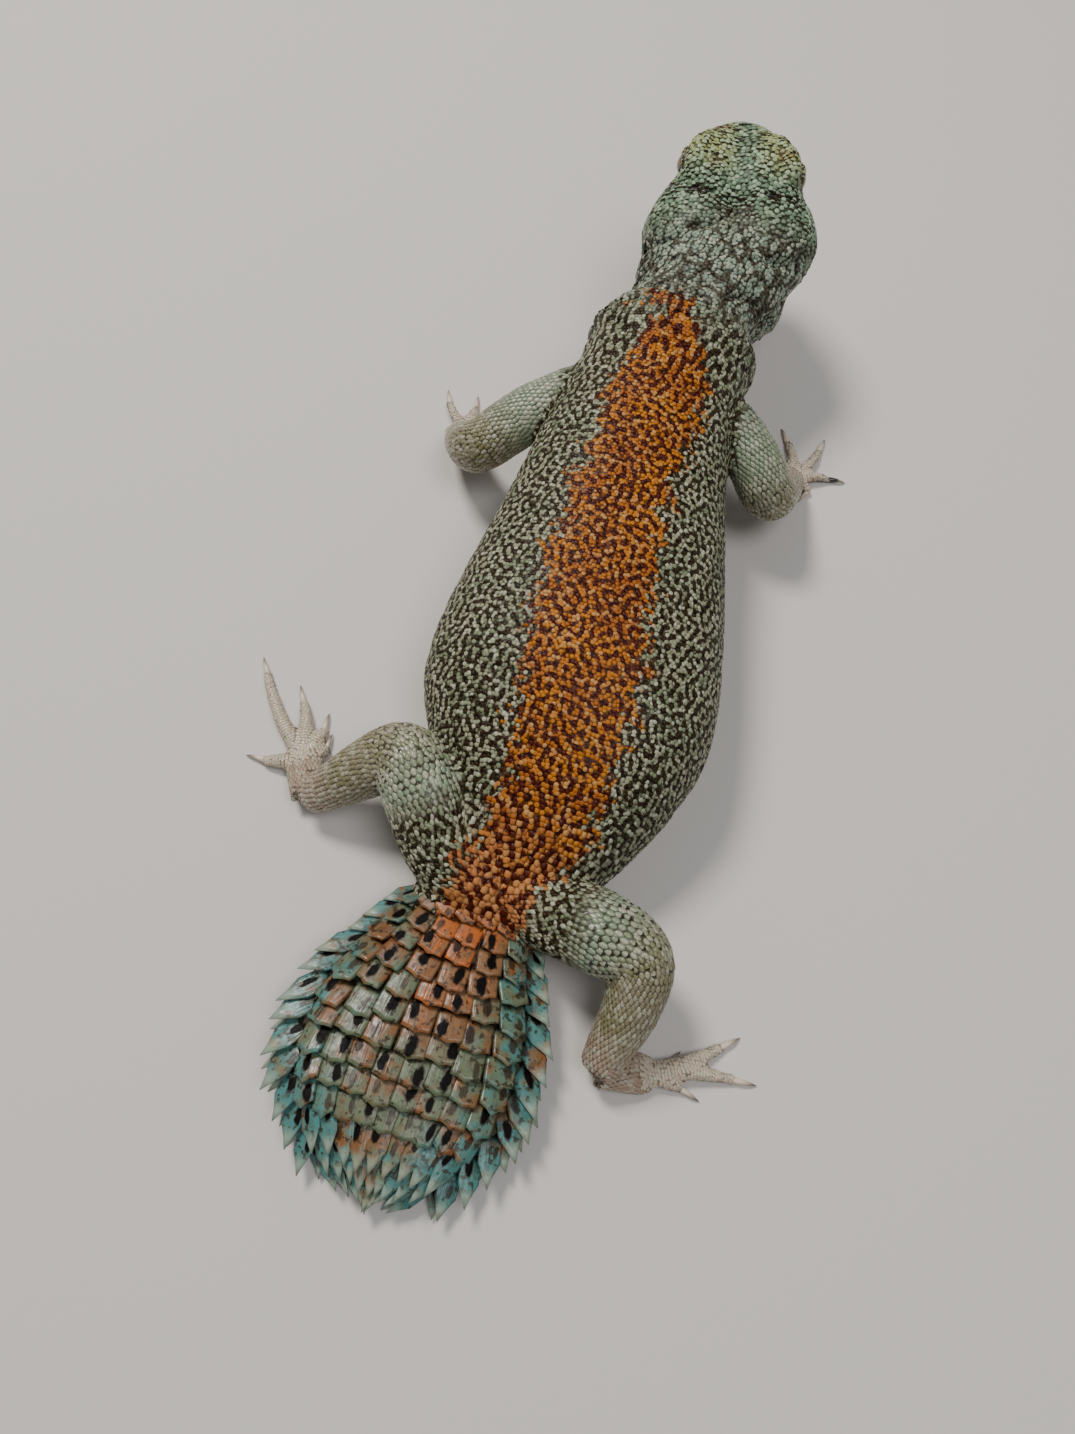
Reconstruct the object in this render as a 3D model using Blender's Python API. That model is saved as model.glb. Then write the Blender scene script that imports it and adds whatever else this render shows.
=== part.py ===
"""An Omani spiny-tailed lizard (genus Uromastyx), life size, standing still with its chest and head raised.

The lizard looks along +Y, +X is its right side and +Z is up. The floor that it stands on is z = 0.
Sizes are in millimetres and become metres where a mesh is made.
The body is a loft through stations along the back, the legs are tubes along their bones, and both are
fused by a voxel remesh, thinned, and parted with cuts as wide as GAP. The tail's scales and the claws
are then fused to the pieces that they grow from.
"""

import math
import random

import bmesh
import bpy
import numpy as np
from mathutils import Matrix, Vector

MM = 0.001
GAP = 0.3
FLOOR = 0.0

# Stations of the trunk: place along the body, sideways shift of the back, half width,
# height of the back, height of the widest level, height of the belly
TRUNK = [
    (-58.0, -3.0, 11.0, 12.4, 6.0, -1.0),
    (-50.0, 0.4, 13.0, 16.5, 7.4, -1.2),
    (-41.0, 3.0, 16.5, 21.5, 9.4, -1.6),
    (-32.0, 3.0, 21.2, 26.0, 11.2, -1.9),
    (-22.0, 2.1, 25.3, 29.5, 12.4, -2.0),
    (-12.0, 1.5, 25.8, 31.5, 13.0, -2.0),
    (0.0, 1.0, 24.2, 32.6, 13.8, -1.6),
    (14.0, 0.4, 21.4, 33.4, 15.2, -0.2),
    (28.0, -0.5, 18.7, 34.0, 17.0, 2.6),
    (40.0, -0.5, 16.9, 34.4, 18.8, 5.6),
    (50.0, 0.1, 15.8, 34.6, 20.6, 8.0),
    (56.0, 0.2, 15.7, 35.0, 22.2, 9.8),
    (59.5, 0.6, 13.2, 35.4, 23.0, 11.0),
    (63.0, 2.1, 12.0, 35.8, 23.8, 12.4),
    (69.0, 3.3, 14.5, 36.8, 24.8, 13.0),
    (77.0, 3.4, 14.8, 38.0, 26.8, 15.2),
    (82.0, 3.6, 13.0, 37.6, 27.4, 18.2),
]

# Loose folds of skin on the neck and over the shoulders: place on the body at the fold's upper end and
# at its lower end, turns round the section at both (0 is the right side, 90 the back), and thickness
FOLDS = [
    (55.6, 53.6, 142, 250, 1.6),
    (50.8, 49.0, 150, 235, 1.3),
    (56.0, 53.5, 38, -70, 1.7),
    (67.0, 63.0, 150, 262, 1.5),
    (72.0, 66.0, 28, -75, 1.1),
    (78.0, 73.5, 145, 250, 1.2),
]

# Stations of the tail's core, in the same order of sizes, without its scales
TAIL = [
    (-50.0, 0.4, 10.6, 14.0, 6.4, 0.8),
    (-57.0, -2.8, 11.4, 12.0, 5.8, -0.6),
    (-62.0, -4.0, 13.2, 11.6, 5.4, -1.2),
    (-68.0, -4.6, 16.0, 11.2, 5.0, -1.4),
    (-74.0, -4.9, 17.9, 10.6, 4.8, -1.4),
    (-80.0, -5.1, 18.6, 9.8, 4.6, -1.3),
    (-86.0, -5.1, 17.8, 8.8, 4.2, -1.1),
    (-92.0, -5.0, 14.9, 7.4, 3.6, -0.7),
    (-97.0, -4.7, 10.2, 5.6, 2.9, 0.2),
    (-99.5, -4.5, 6.2, 4.4, 2.4, 0.6),
    (-101.0, -4.4, 2.4, 3.6, 2.2, 1.0),
]

# The head hangs on the tip of its snout. Its stations run back from there: distance, half width,
# rise above the head's axis and drop below it
SNOUT = Vector((0.6, 103.8, 33.0))
HEAD_YAW = math.radians(9.3)
HEAD_PITCH = math.radians(8.0)
HEAD = [
    (0.0, 2.4, 1.8, 2.4),
    (0.9, 4.6, 4.0, 4.0),
    (2.8, 6.6, 6.4, 5.2),
    (6.0, 8.6, 8.6, 6.4),
    (10.0, 10.6, 10.0, 7.6),
    (14.0, 12.4, 10.5, 8.8),
    (18.0, 14.6, 10.3, 10.0),
    (22.0, 16.4, 9.7, 11.0),
    (26.0, 16.8, 8.8, 11.6),
    (30.0, 15.2, 7.8, 11.6),
    (34.0, 12.6, 6.6, 10.2),
]

# The ridge from the brow to the nostril: distance from the middle, distance back, height and radius
SNOUT_RIDGE = [(8.0, 12.0, 7.0, 1.9), (6.9, 8.6, 6.5, 1.8), (5.3, 5.6, 5.1, 1.7), (3.6, 3.4, 3.2, 1.5)]

EYE_BACK = 13.0
EYE_UP = 4.4
EYE_RADIUS = 2.7
EYE_SINK = 1.25
LID_RADIUS = 0.85
NOSTRIL_BACK = 2.6
NOSTRIL_UP = 2.0
NOSTRIL_RADIUS = 0.75
EAR_BACK = 28.6
EAR_UP = -1.6
EAR_HALF = (1.7, 1.25, 2.7)
MOUTH = [(0.0, -1.2), (5.0, -1.9), (10.0, -2.7), (15.0, -3.3), (19.5, -2.4)]
MOUTH_WIDTH = 0.55
MOUTH_DEPTH = 1.0

# Legs: points of the bones with the flesh's radius at each, then the palm and the tips of the
# five toes from the inner to the outer one. Cuts lie at the knee or elbow and at the ankle or wrist
LEGS = {
    "foreleg_left": {
        "bone": [(-8, 46.2, 22, 5.0), (-15.5, 40.3, 21, 5.1), (-22.4, 34.8, 18.6, 5.3), (-29.3, 28.6, 14.2, 5.2),
                 (-33.2, 31, 10, 4.4), (-35.6, 35.2, 6, 3.3), (-36.4, 38, 3.6, 2.7)],
        "joint": 3,
        "palm": (-37.2, 40, 1.1, 2.3),
        "toes": [(-31.2, 42.6), (-33.4, 46.2), (-36.4, 48.4), (-43.2, 47.8), (-41.4, 38.8)],
        "toe_radius": 0.72,
    },
    "foreleg_right": {
        "bone": [(8, 47, 22, 5.0), (15.4, 43.2, 21, 5.1), (21.3, 39.4, 18, 5.3), (25.6, 36.4, 14, 5.2),
                 (28, 40.2, 10, 4.3), (29.8, 45.6, 6, 3.2), (30.6, 48.8, 3.6, 2.7)],
        "joint": 3,
        "palm": (31.2, 51, 1.1, 2.3),
        "toes": [(26, 55), (27.2, 62.3), (35.5, 62.3), (40, 54.6), (35.9, 48.6)],
        "toe_radius": 0.72,
    },
    "hindleg_left": {
        "bone": [(-1, -52, 9, 6.2), (-9.5, -48.5, 12, 6.9), (-16, -41.5, 15.8, 7), (-21.4, -36.6, 16.4, 5.8),
                 (-28, -40, 11.6, 5), (-33.4, -43.2, 6.8, 3.9), (-36.6, -44.4, 4.2, 3.4)],
        "joint": 3,
        "palm": (-40.6, -38.2, 1.3, 3.4),
        "toes": [(-36.9, -33.4), (-39.4, -29.4), (-46.0, -25.4), (-55.0, -22.4), (-49.4, -40.4)],
        "toe_radius": 0.95,
    },
    "hindleg_right": {
        "bone": [(1, -50, 8.4, 6), (9.6, -52.8, 11.2, 6.5), (18, -54.4, 15, 6.8), (25.1, -56.8, 15.2, 5.7),
                 (26.2, -63.4, 11.4, 4.8), (25, -69.6, 6.8, 3.9), (24.4, -73, 4.2, 3.4)],
        "joint": 3,
        "palm": (31, -71.6, 1.3, 3.4),
        "toes": [(36.6, -68.0), (40.4, -65.4), (44.9, -62.2), (48.6, -67.4), (40.2, -71.9)],
        "toe_radius": 0.95,
    },
}
CLAW_LENGTH = 2.6
CLAW_RADIUS = 0.5

# The tail's scales stand in whorls, from its root to its tip
WHORLS = 13
WHORL_START = -55.5
WHORL_STEP = 2.5
WHORL_SWELL = 1.45
SCALE_SINK = 1.2

# The cuts that part the body, each as a point and the direction towards the head
HEAD_CUT = ((3.9, 75.5, 26.0), (-0.10, 1.0, 0.12))
NECK_CUT = ((1.3, 58.8, 22.0), (0.12, 1.0, 0.0))
TAIL_CUT = ((-2.2, -54.4, 7.0), (0.30, 1.0, 0.0))

BODY_VOXEL = 0.75
LEG_VOXEL = 0.45
BODY_FACES = 4000
LEG_FACES = 900


def clear_scene():
    for old in list(bpy.data.objects):
        bpy.data.objects.remove(old, do_unlink=True)


def material(name, colour, roughness):
    made = bpy.data.materials.new(name)
    made.use_nodes = True
    shader = made.node_tree.nodes["Principled BSDF"]
    shader.inputs["Base Color"].default_value = (*colour, 1.0)
    shader.inputs["Roughness"].default_value = roughness
    shader.inputs["Metallic"].default_value = 0.0
    return made


def add_object(name, points, faces, paint=None):
    """A mesh object from points in millimetres."""
    mesh = bpy.data.meshes.new(name)
    mesh.from_pydata([tuple(c * MM for c in p) for p in points], [], faces)
    made = bpy.data.objects.new(name, mesh)
    bpy.context.scene.collection.objects.link(made)
    if paint:
        mesh.materials.append(paint)
    return made


def remove(*objects):
    for old in objects:
        bpy.data.objects.remove(old, do_unlink=True)


def smooth_rows(rows, steps):
    """Rows read off a smooth curve that passes through the given ones, with steps to each stretch."""
    rows = np.array(rows, float)
    padded = np.vstack([2 * rows[0] - rows[1], rows, 2 * rows[-1] - rows[-2]])
    out = []
    for i in range(len(rows) - 1):
        a, b, c, d = padded[i:i + 4]
        for k in range(steps):
            t = k / steps
            out.append(0.5 * (2 * b + (c - a) * t + (2 * a - 5 * b + 4 * c - d) * t * t
                              + (3 * b - a - 3 * c + d) * t ** 3))
    out.append(rows[-1])
    return np.array(out)


def row_at(rows, place):
    """The row of sizes at a place along the first column of a smooth table."""
    order = np.argsort(rows[:, 0])
    return np.array([np.interp(place, rows[order, 0], rows[order, k]) for k in range(rows.shape[1])])


def powered(value, power):
    return math.copysign(abs(value) ** power, value)


def section(half, rise, drop, sides, fullness=2.25):
    """(sideways, up) points round a rounded section, widest at height 0."""
    power = 2.0 / fullness
    ring = []
    for k in range(sides):
        turn = 2 * math.pi * k / sides
        up = rise if math.sin(turn) >= 0 else drop
        ring.append((half * powered(math.cos(turn), power), up * powered(math.sin(turn), power)))
    return ring


def skin_over(name, rings, paint=None):
    """A closed skin over rings that all have as many points, with a fan at each end."""
    sides = len(rings[0])
    points = [tuple(p) for ring in rings for p in ring]
    faces = []
    for i in range(len(rings) - 1):
        for k in range(sides):
            j = (k + 1) % sides
            faces.append((i * sides + k, i * sides + j, (i + 1) * sides + j, (i + 1) * sides + k))
    for ring, base, turned in ((rings[0], 0, True), (rings[-1], (len(rings) - 1) * sides, False)):
        middle = len(points)
        points.append(tuple(np.mean(np.array([tuple(p) for p in ring]), axis=0)))
        for k in range(sides):
            j = (k + 1) % sides
            faces.append((base + j, base + k, middle) if turned else (base + k, base + j, middle))
    made = add_object(name, points, faces, paint)
    outward(made)
    return made


def outward(obj):
    """Turns the faces outwards."""
    shape = bmesh.new()
    shape.from_mesh(obj.data)
    bmesh.ops.recalc_face_normals(shape, faces=shape.faces)
    shape.to_mesh(obj.data)
    shape.free()


def station_loft(name, stations, sides, steps):
    rings = []
    for place, shift, half, top, wide, low in smooth_rows(stations, steps):
        rings.append([(shift + a, place, wide + b) for a, b in section(half, top - wide, wide - low, sides)])
    return skin_over(name, rings)


def tube(name, path, sides, steps, flatten=1.0):
    """A round tube along (x, y, z, radius) points."""
    rows = smooth_rows(path, steps) if len(path) > 2 else np.array(path, float)
    rings = []
    side = None
    for i, row in enumerate(rows):
        here = Vector(row[:3])
        ahead = Vector(rows[min(i + 1, len(rows) - 1)][:3]) - Vector(rows[max(i - 1, 0)][:3])
        ahead.normalize()
        side = ahead.cross(Vector((0, 0, 1))) if side is None else side - ahead * side.dot(ahead)
        side.normalize()
        up = side.cross(ahead)
        rings.append([here + side * (row[3] * math.cos(2 * math.pi * k / sides))
                      + up * (row[3] * flatten * math.sin(2 * math.pi * k / sides)) for k in range(sides)])
    return skin_over(name, rings)


def ball(name, centre, half, turn=None, rounds=16):
    """An ellipsoid."""
    shape = bmesh.new()
    bmesh.ops.create_uvsphere(shape, u_segments=rounds, v_segments=rounds // 2, radius=1.0)
    place = Matrix.Translation(Vector(centre) * MM)
    if turn is not None:
        place = place @ turn.to_4x4()
    size = Matrix.Diagonal((half[0] * MM, half[1] * MM, half[2] * MM, 1.0))
    bmesh.ops.transform(shape, matrix=place @ size, verts=shape.verts)
    mesh = bpy.data.meshes.new(name)
    shape.to_mesh(mesh)
    shape.free()
    made = bpy.data.objects.new(name, mesh)
    bpy.context.scene.collection.objects.link(made)
    return made


def settle(obj):
    """Replaces the object's mesh with what its modifiers make of it."""
    bpy.context.view_layer.update()
    graph = bpy.context.evaluated_depsgraph_get()
    made = bpy.data.meshes.new_from_object(obj.evaluated_get(graph))
    obj.modifiers.clear()
    obj.data = made
    return obj


def join(name, pieces):
    """One object that holds all the pieces' meshes."""
    shape = bmesh.new()
    for piece in pieces:
        shape.from_mesh(piece.data)
    mesh = bpy.data.meshes.new(name)
    shape.to_mesh(mesh)
    shape.free()
    remove(*pieces)
    made = bpy.data.objects.new(name, mesh)
    bpy.context.scene.collection.objects.link(made)
    return made


def fuse_flesh(obj, voxel, passes, faces):
    """Fuses overlapping shapes into one smooth skin, then thins it to about that many triangles."""
    fuse = obj.modifiers.new("fuse", "REMESH")
    fuse.mode = "VOXEL"
    fuse.voxel_size = voxel * MM
    ease = obj.modifiers.new("ease", "SMOOTH")
    ease.factor = 0.5
    ease.iterations = passes
    settle(obj)
    largest_body(obj)
    quads = len(obj.data.polygons)
    thin = obj.modifiers.new("thin", "DECIMATE")
    thin.ratio = min(1.0, faces / (2.0 * quads))
    settle(obj)
    return obj


def largest_body(obj):
    """Keeps only the largest closed surface of the mesh."""
    shape = bmesh.new()
    shape.from_mesh(obj.data)
    left = set(shape.verts)
    groups = []
    while left:
        stack = [left.pop()]
        group = set(stack)
        while stack:
            for edge in stack.pop().link_edges:
                for vert in edge.verts:
                    if vert in left:
                        left.discard(vert)
                        group.add(vert)
                        stack.append(vert)
        groups.append(group)
    keep = max(groups, key=len)
    bmesh.ops.delete(shape, geom=[v for v in shape.verts if v not in keep], context="VERTS")
    shape.to_mesh(obj.data)
    shape.free()
    return obj


def combine(obj, others, operation, solver="EXACT"):
    """Joins the other objects to this one, or cuts them from it, and removes them."""
    group = bpy.data.collections.new("tools")
    bpy.context.scene.collection.children.link(group)
    for other in others:
        bpy.context.scene.collection.objects.unlink(other)
        group.objects.link(other)
    act = obj.modifiers.new("act", "BOOLEAN")
    act.operation = operation
    act.solver = solver
    act.operand_type = "COLLECTION"
    act.collection = group
    settle(obj)
    remove(*others)
    bpy.data.collections.remove(group)
    return largest_body(obj)


def slab(name, point, ahead, near, far, reach=90.0):
    """A block between two parallel planes, near and far along a direction from a point."""
    ahead = Vector(ahead).normalized()
    side = ahead.cross(Vector((0, 0, 1) if abs(ahead.z) < 0.9 else (1, 0, 0))).normalized()
    up = side.cross(ahead)
    corners = []
    for depth in (near, far):
        for a, b in ((-1, -1), (1, -1), (1, 1), (-1, 1)):
            corners.append(Vector(point) + ahead * depth + side * a * reach + up * b * reach)
    faces = [(0, 1, 2, 3), (7, 6, 5, 4), (0, 4, 5, 1), (1, 5, 6, 2), (2, 6, 7, 3), (3, 7, 4, 0)]
    made = add_object(name, corners, faces)
    outward(made)
    return made


def copy_of(obj, name):
    made = bpy.data.objects.new(name, obj.data.copy())
    bpy.context.scene.collection.objects.link(made)
    return made


def trim_to_floor(obj):
    """Gives what stands on the floor small flats at its level."""
    below = slab("below_floor", (0, 0, FLOOR), (0, 0, -1), 0.0, 30.0, 160.0)
    return combine(obj, [below], "DIFFERENCE")


def grown(obj, name, by):
    """A copy that stands out by a margin all round."""
    made = copy_of(obj, name)
    push = made.modifiers.new("push", "DISPLACE")
    push.mid_level = 0.0
    push.strength = by * MM
    return settle(made)


def fold_paths():
    """The path of each fold of the neck, just under the skin, thickest in its middle."""
    rows = smooth_rows(TRUNK, 4)
    paths = []
    for upper, lower, start, end, thick in FOLDS:
        path = []
        for k in range(9):
            t = k / 8
            _, shift, half, top, wide, low = row_at(rows, upper + (lower - upper) * t)
            turn = math.radians(start + (end - start) * t)
            rise = top - wide if math.sin(turn) >= 0 else wide - low
            radius = thick * (0.35 + 0.65 * math.sin(math.pi * t))
            path.append((shift + (half - 0.5 * radius) * powered(math.cos(turn), 2.0 / 2.25),
                         upper + (lower - upper) * t,
                         wide + (rise - 0.5 * radius) * powered(math.sin(turn), 2.0 / 2.25), radius))
        paths.append(path)
    return paths


def head_frame():
    """From the head's own directions (right, forwards, up), at the tip of the snout, to the body's."""
    return (Matrix.Translation(SNOUT) @ Matrix.Rotation(HEAD_YAW, 4, "Z")
            @ Matrix.Rotation(HEAD_PITCH, 4, "X"))


def head_point(right, back, up):
    return head_frame() @ Vector((right, -back, up))


def head_side(back, up):
    """Half the head's width at a distance behind the snout and a height over its axis."""
    _, half, rise, drop = row_at(smooth_rows(HEAD, 4), back)
    level = min(0.98, abs(up) / (rise if up >= 0 else drop))
    return half * (1 - level ** 2.25) ** (1 / 2.25)


def head_shapes():
    """The skull's loft with brows, cheeks, lids and lips."""
    rings = []
    for back, half, rise, drop in smooth_rows(HEAD, 3):
        rings.append([head_point(a, back, b) for a, b in section(half, rise, drop, 28)])
    shapes = [skin_over("skull", rings)]
    turn = head_frame().to_3x3()
    for side in (-1, 1):
        eye = head_side(EYE_BACK, EYE_UP)
        shapes.append(ball("brow", head_point(side * (eye - 2.7), EYE_BACK + 0.8, EYE_UP + 3.0), (2.3, 5.0, 2.2), turn))
        ridge = [(*head_point(side * out, back, up), radius) for out, back, up, radius in SNOUT_RIDGE]
        shapes.append(tube("snout_ridge", ridge, 10, 3))
        shapes.append(ball("cheek", head_point(side * 12.4, 23.0, -3.6), (4.9, 6.6, 6.4), turn))
        shapes.append(ball("ear_fold", head_point(side * 14.6, 26.0, -1.4), (2.2, 1.3, 3.4), turn))
        shapes.append(ball("eye_mound", head_point(side * (eye - 1.7), EYE_BACK, EYE_UP), (2.6, 4.1, 3.4), turn))
        for lift, sink in ((0.9, 0.55), (-1.1, 0.55)):
            path = [(*head_point(side * (head_side(b, z + lift) - sink), b, z + lift), 0.95) for b, z in MOUTH]
            shapes.append(tube("lip", path, 8, 3))
    return shapes


def lid_ring(side):
    """The thick rims of both lids, as one closed loop round the eye."""
    eye = head_side(EYE_BACK, EYE_UP) + 0.15
    turns = 14
    sides = 6
    points = []
    faces = []
    for i in range(turns):
        a = 2 * math.pi * i / turns
        back = EYE_BACK + 3.1 * math.cos(a)
        up = EYE_UP + 2.0 * math.sin(a)
        out = eye - 0.22 * abs(math.cos(a)) ** 2 * 3.0
        for k in range(sides):
            b = 2 * math.pi * k / sides
            away = LID_RADIUS * math.cos(b)
            points.append(head_point(side * (out + LID_RADIUS * math.sin(b)), back + away * math.cos(a),
                                     up + away * math.sin(a)))
    for i in range(turns):
        j = (i + 1) % turns
        for k in range(sides):
            m = (k + 1) % sides
            faces.append((i * sides + k, i * sides + m, j * sides + m, j * sides + k))
    made = add_object("lids", points, faces)
    outward(made)
    return made


def mouth_cut():
    """A thin blade that follows the line of the mouth round the snout."""
    line = smooth_rows(MOUTH, 3)
    left = [(-head_side(b, z), b, z) for b, z in line[::-1]]
    right = [(head_side(b, z), b, z) for b, z in line[1:]]
    front = [(0.0, -0.6, MOUTH[0][1])]
    route = left[:-1] + front + right
    points = []
    faces = []
    for out, back, up in route:
        inward = max(0.0, abs(out) - MOUTH_DEPTH)
        outer = abs(out) + 1.2
        sign = 0.0 if out == 0 else math.copysign(1.0, out)
        nose = MOUTH_DEPTH if sign == 0 else 0.0
        for reach, depth, lift in ((outer, -1.2, -0.5), (outer, -1.2, 0.5), (inward, 1.0, 0.5), (inward, 1.0, -0.5)):
            points.append(head_point(sign * reach, back + nose * depth, up + lift * MOUTH_WIDTH))
    for i in range(len(route) - 1):
        for k in range(4):
            j = (k + 1) % 4
            faces.append((4 * i + k, 4 * i + j, 4 * i + 4 + j, 4 * i + 4 + k))
    last = 4 * (len(route) - 1)
    faces += [(3, 2, 1, 0), (last, last + 1, last + 2, last + 3)]
    made = add_object("mouth", points, faces)
    outward(made)
    return made


def head_cutters():
    """Sockets, nostrils, ear cups and the line of the mouth."""
    turn = head_frame().to_3x3()
    cutters = [mouth_cut()]
    for side in (-1, 1):
        cutters.append(ball("socket", eye_centre(side), [EYE_RADIUS + GAP] * 3, turn, 14))
        nose = head_side(NOSTRIL_BACK, NOSTRIL_UP)
        cutters.append(ball("nostril", head_point(side * nose, NOSTRIL_BACK, NOSTRIL_UP),
                            (1.3, NOSTRIL_RADIUS, NOSTRIL_RADIUS), turn, 10))
        ear = head_side(EAR_BACK, EAR_UP)
        cutters.append(ball("ear", head_point(side * (ear + 0.2), EAR_BACK, EAR_UP), EAR_HALF, turn, 12))
    return cutters


def eye_centre(side):
    return head_point(side * (head_side(EYE_BACK, EYE_UP) - EYE_SINK), EYE_BACK, EYE_UP)


def claw(name, root, tip_way, length, radius):
    """A curved claw that bends down to the floor."""
    way = Vector(tip_way).normalized()
    path = []
    for k in range(4):
        t = k / 3
        drop = -0.75 * t * t * length * 0.5
        path.append((*(Vector(root) + way * length * t + Vector((0, 0, 0.35 * radius + drop))),
                     radius * (1 - 0.86 * t)))
    return tube(name, path, 6, 1)


def leg_parts(name, plan):
    """The flesh of one leg with its palm and toes, and its claws apart."""
    bone = plan["bone"]
    shapes = [tube("flesh", bone, 14, 3)]
    palm = Vector(plan["palm"][:3])
    thick = plan["palm"][3]
    heel = bone[-1]
    shapes.append(tube("sole", [heel, (*palm, thick), (*(palm + (palm - Vector(heel[:3])) * 0.35), thick * 0.8)],
                       12, 3, 0.72))
    claws = []
    for k, (x, y) in enumerate(plan["toes"]):
        radius = plan["toe_radius"]
        tip = Vector((x, y, radius * 0.35))
        reach = tip - palm
        across = Vector((reach.y, -reach.x, 0)).normalized() * 0.10 * reach.length * (1 if k < 3 else -1)
        path = [(*(palm + reach * 0.05), radius * 1.8), (*(palm + reach * 0.38 + across * 0.4 + Vector((0, 0, 0.9))), radius * 1.5),
                (*(palm + reach * 0.70 + across * 0.3 + Vector((0, 0, 0.5))), radius * 1.16), (*(tip - reach.normalized() * 1.6), radius * 0.84)]
        shapes.append(tube("toe", path, 9, 3, 0.92))
        root = tip - reach.normalized() * 2.2
        claws.append(claw(f"claw_{k}", root, reach, CLAW_LENGTH, CLAW_RADIUS))
    return shapes, claws


def make_leg(name, plan, body_margin, paints):
    """The nodes of one leg: its upper part, its lower part and its foot with claws."""
    shapes, claws = leg_parts(name, plan)
    leg = fuse_flesh(join(name, shapes), LEG_VOXEL, 3, LEG_FACES)
    leg = combine(leg, [copy_of(body_margin, "margin")], "DIFFERENCE")
    bone = [Vector(p[:3]) for p in plan["bone"]]
    knee = bone[plan["joint"]]
    knee_way = (bone[plan["joint"] + 1] - bone[plan["joint"] - 1]).normalized()
    ankle = bone[-1] * 0.55 + bone[-2] * 0.45
    palm = Vector(plan["palm"][:3])
    ankle_way = ((bone[-1] - bone[-2]).normalized() + (palm - bone[-2]).normalized() * 1.5).normalized()
    cuts = {"upper": [("keep", knee, -knee_way)], "lower": [("keep", knee, knee_way), ("keep", ankle, -ankle_way)],
            "foot": [("keep", ankle, ankle_way)]}
    limb = name.split("_")
    made = []
    for part, sides in cuts.items():
        piece = copy_of(leg, f"{limb[0]}_{part}_{limb[1]}")
        for _, point, way in sides:
            piece = combine(piece, [slab("keep", point, way, GAP / 2, 80.0, 80.0)], "INTERSECT")
        if part == "foot":
            piece = combine(piece, claws, "UNION", "MANIFOLD")
            piece = trim_to_floor(piece)
        elif part == "lower":
            piece = trim_to_floor(piece)
        made.append(piece)
    remove(leg)
    for piece in made:
        piece.data.materials.clear()
        piece.data.materials.append(paints["leg"])
    return made


def make_body(paints):
    """Head, neck, torso and the tail's core from one fused body."""
    shapes = [station_loft("trunk", TRUNK, 32, 3), station_loft("tail_core", TAIL, 28, 3)]
    shapes += [tube("fold", path, 9, 3) for path in fold_paths()] + head_shapes()
    body = fuse_flesh(join("body", shapes), BODY_VOXEL, 5, BODY_FACES)
    body = trim_to_floor(body)
    return body


def part_body(body):
    """The body's nodes, parted with plane cuts."""
    spans = {
        "head": [(HEAD_CUT, 1)],
        "neck": [(HEAD_CUT, -1), (NECK_CUT, 1)],
        "torso": [(NECK_CUT, -1), (TAIL_CUT, 1)],
        "tail": [(TAIL_CUT, -1)],
    }
    made = {}
    for name, cuts in spans.items():
        piece = copy_of(body, name)
        for (point, ahead), sign in cuts:
            keep = slab("keep", point, Vector(ahead) * sign, GAP / 2, 240.0, 240.0)
            piece = combine(piece, [keep], "INTERSECT")
        made[name] = piece
    return made


def whorls():
    """Place and spacing of each ring of tail scales, and how many it has, from the root to the tip."""
    rows = smooth_rows(TAIL, 4)
    place = WHORL_START
    rings = []
    for i in range(WHORLS):
        spacing = WHORL_STEP + WHORL_SWELL * math.sin(math.pi * (i + 0.8) / (WHORLS + 0.8))
        half = row_at(rows, place)[2]
        rings.append((place, spacing, max(5, round(2.15 * half / (2.9 + 1.35 * math.sin(math.pi * (i + 1) / WHORLS))))))
        place -= spacing
    return rings


def even_turns(rows, place, count):
    """Turns round the tail's upper side that part it into equal widths."""
    turns = np.linspace(-0.12, math.pi + 0.12, 90)
    points = np.array([tuple(core_point(rows, place, t)) for t in turns])
    run = np.concatenate([[0.0], np.cumsum(np.linalg.norm(np.diff(points, axis=0), axis=1))])
    return np.interp((np.arange(count) + 0.5) / count * run[-1], run, turns), run[-1] / count


def tail_scales():
    """The keeled scales of the tail's upper side and the spines of its edges, whorl by whorl."""
    rows = smooth_rows(TAIL, 4)
    draw = random.Random(7)
    scales = []
    for i, (place, spacing, count) in enumerate(whorls()):
        turns, width = even_turns(rows, place, count)
        for turn in turns:
            points, faces = tail_scale(turn, place, rows, spacing * draw.uniform(0.96, 1.05), width)
            if clear_of_legs(points) and behind_cut(points):
                scales.append(add_object(f"scale_{i}", points, faces))
                outward(scales[-1])
    return scales


def clear_of_legs(points):
    """Whether all the points stay clear of the flesh of both thighs."""
    for name in ("hindleg_left", "hindleg_right"):
        for x, y, z, radius in smooth_rows(LEGS[name]["bone"], 4):
            if any((p - Vector((x, y, z))).length < radius + 0.8 for p in points):
                return False
    return True


def behind_cut(points):
    """Whether all the points lie on the tail's side of the cut at its root."""
    ahead = Vector(TAIL_CUT[1]).normalized()
    return all((p - Vector(TAIL_CUT[0])).dot(ahead) < -0.4 for p in points)


def core_point(rows, place, turn):
    """A point on the tail's core, by place along it and turn round its upper side from right to left."""
    _, shift, half, top, wide, _ = row_at(rows, place)
    power = 2.0 / 2.25
    return Vector((shift + half * powered(math.cos(turn), power), place,
                   wide + (top - wide) * powered(math.sin(turn), power)))


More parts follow.
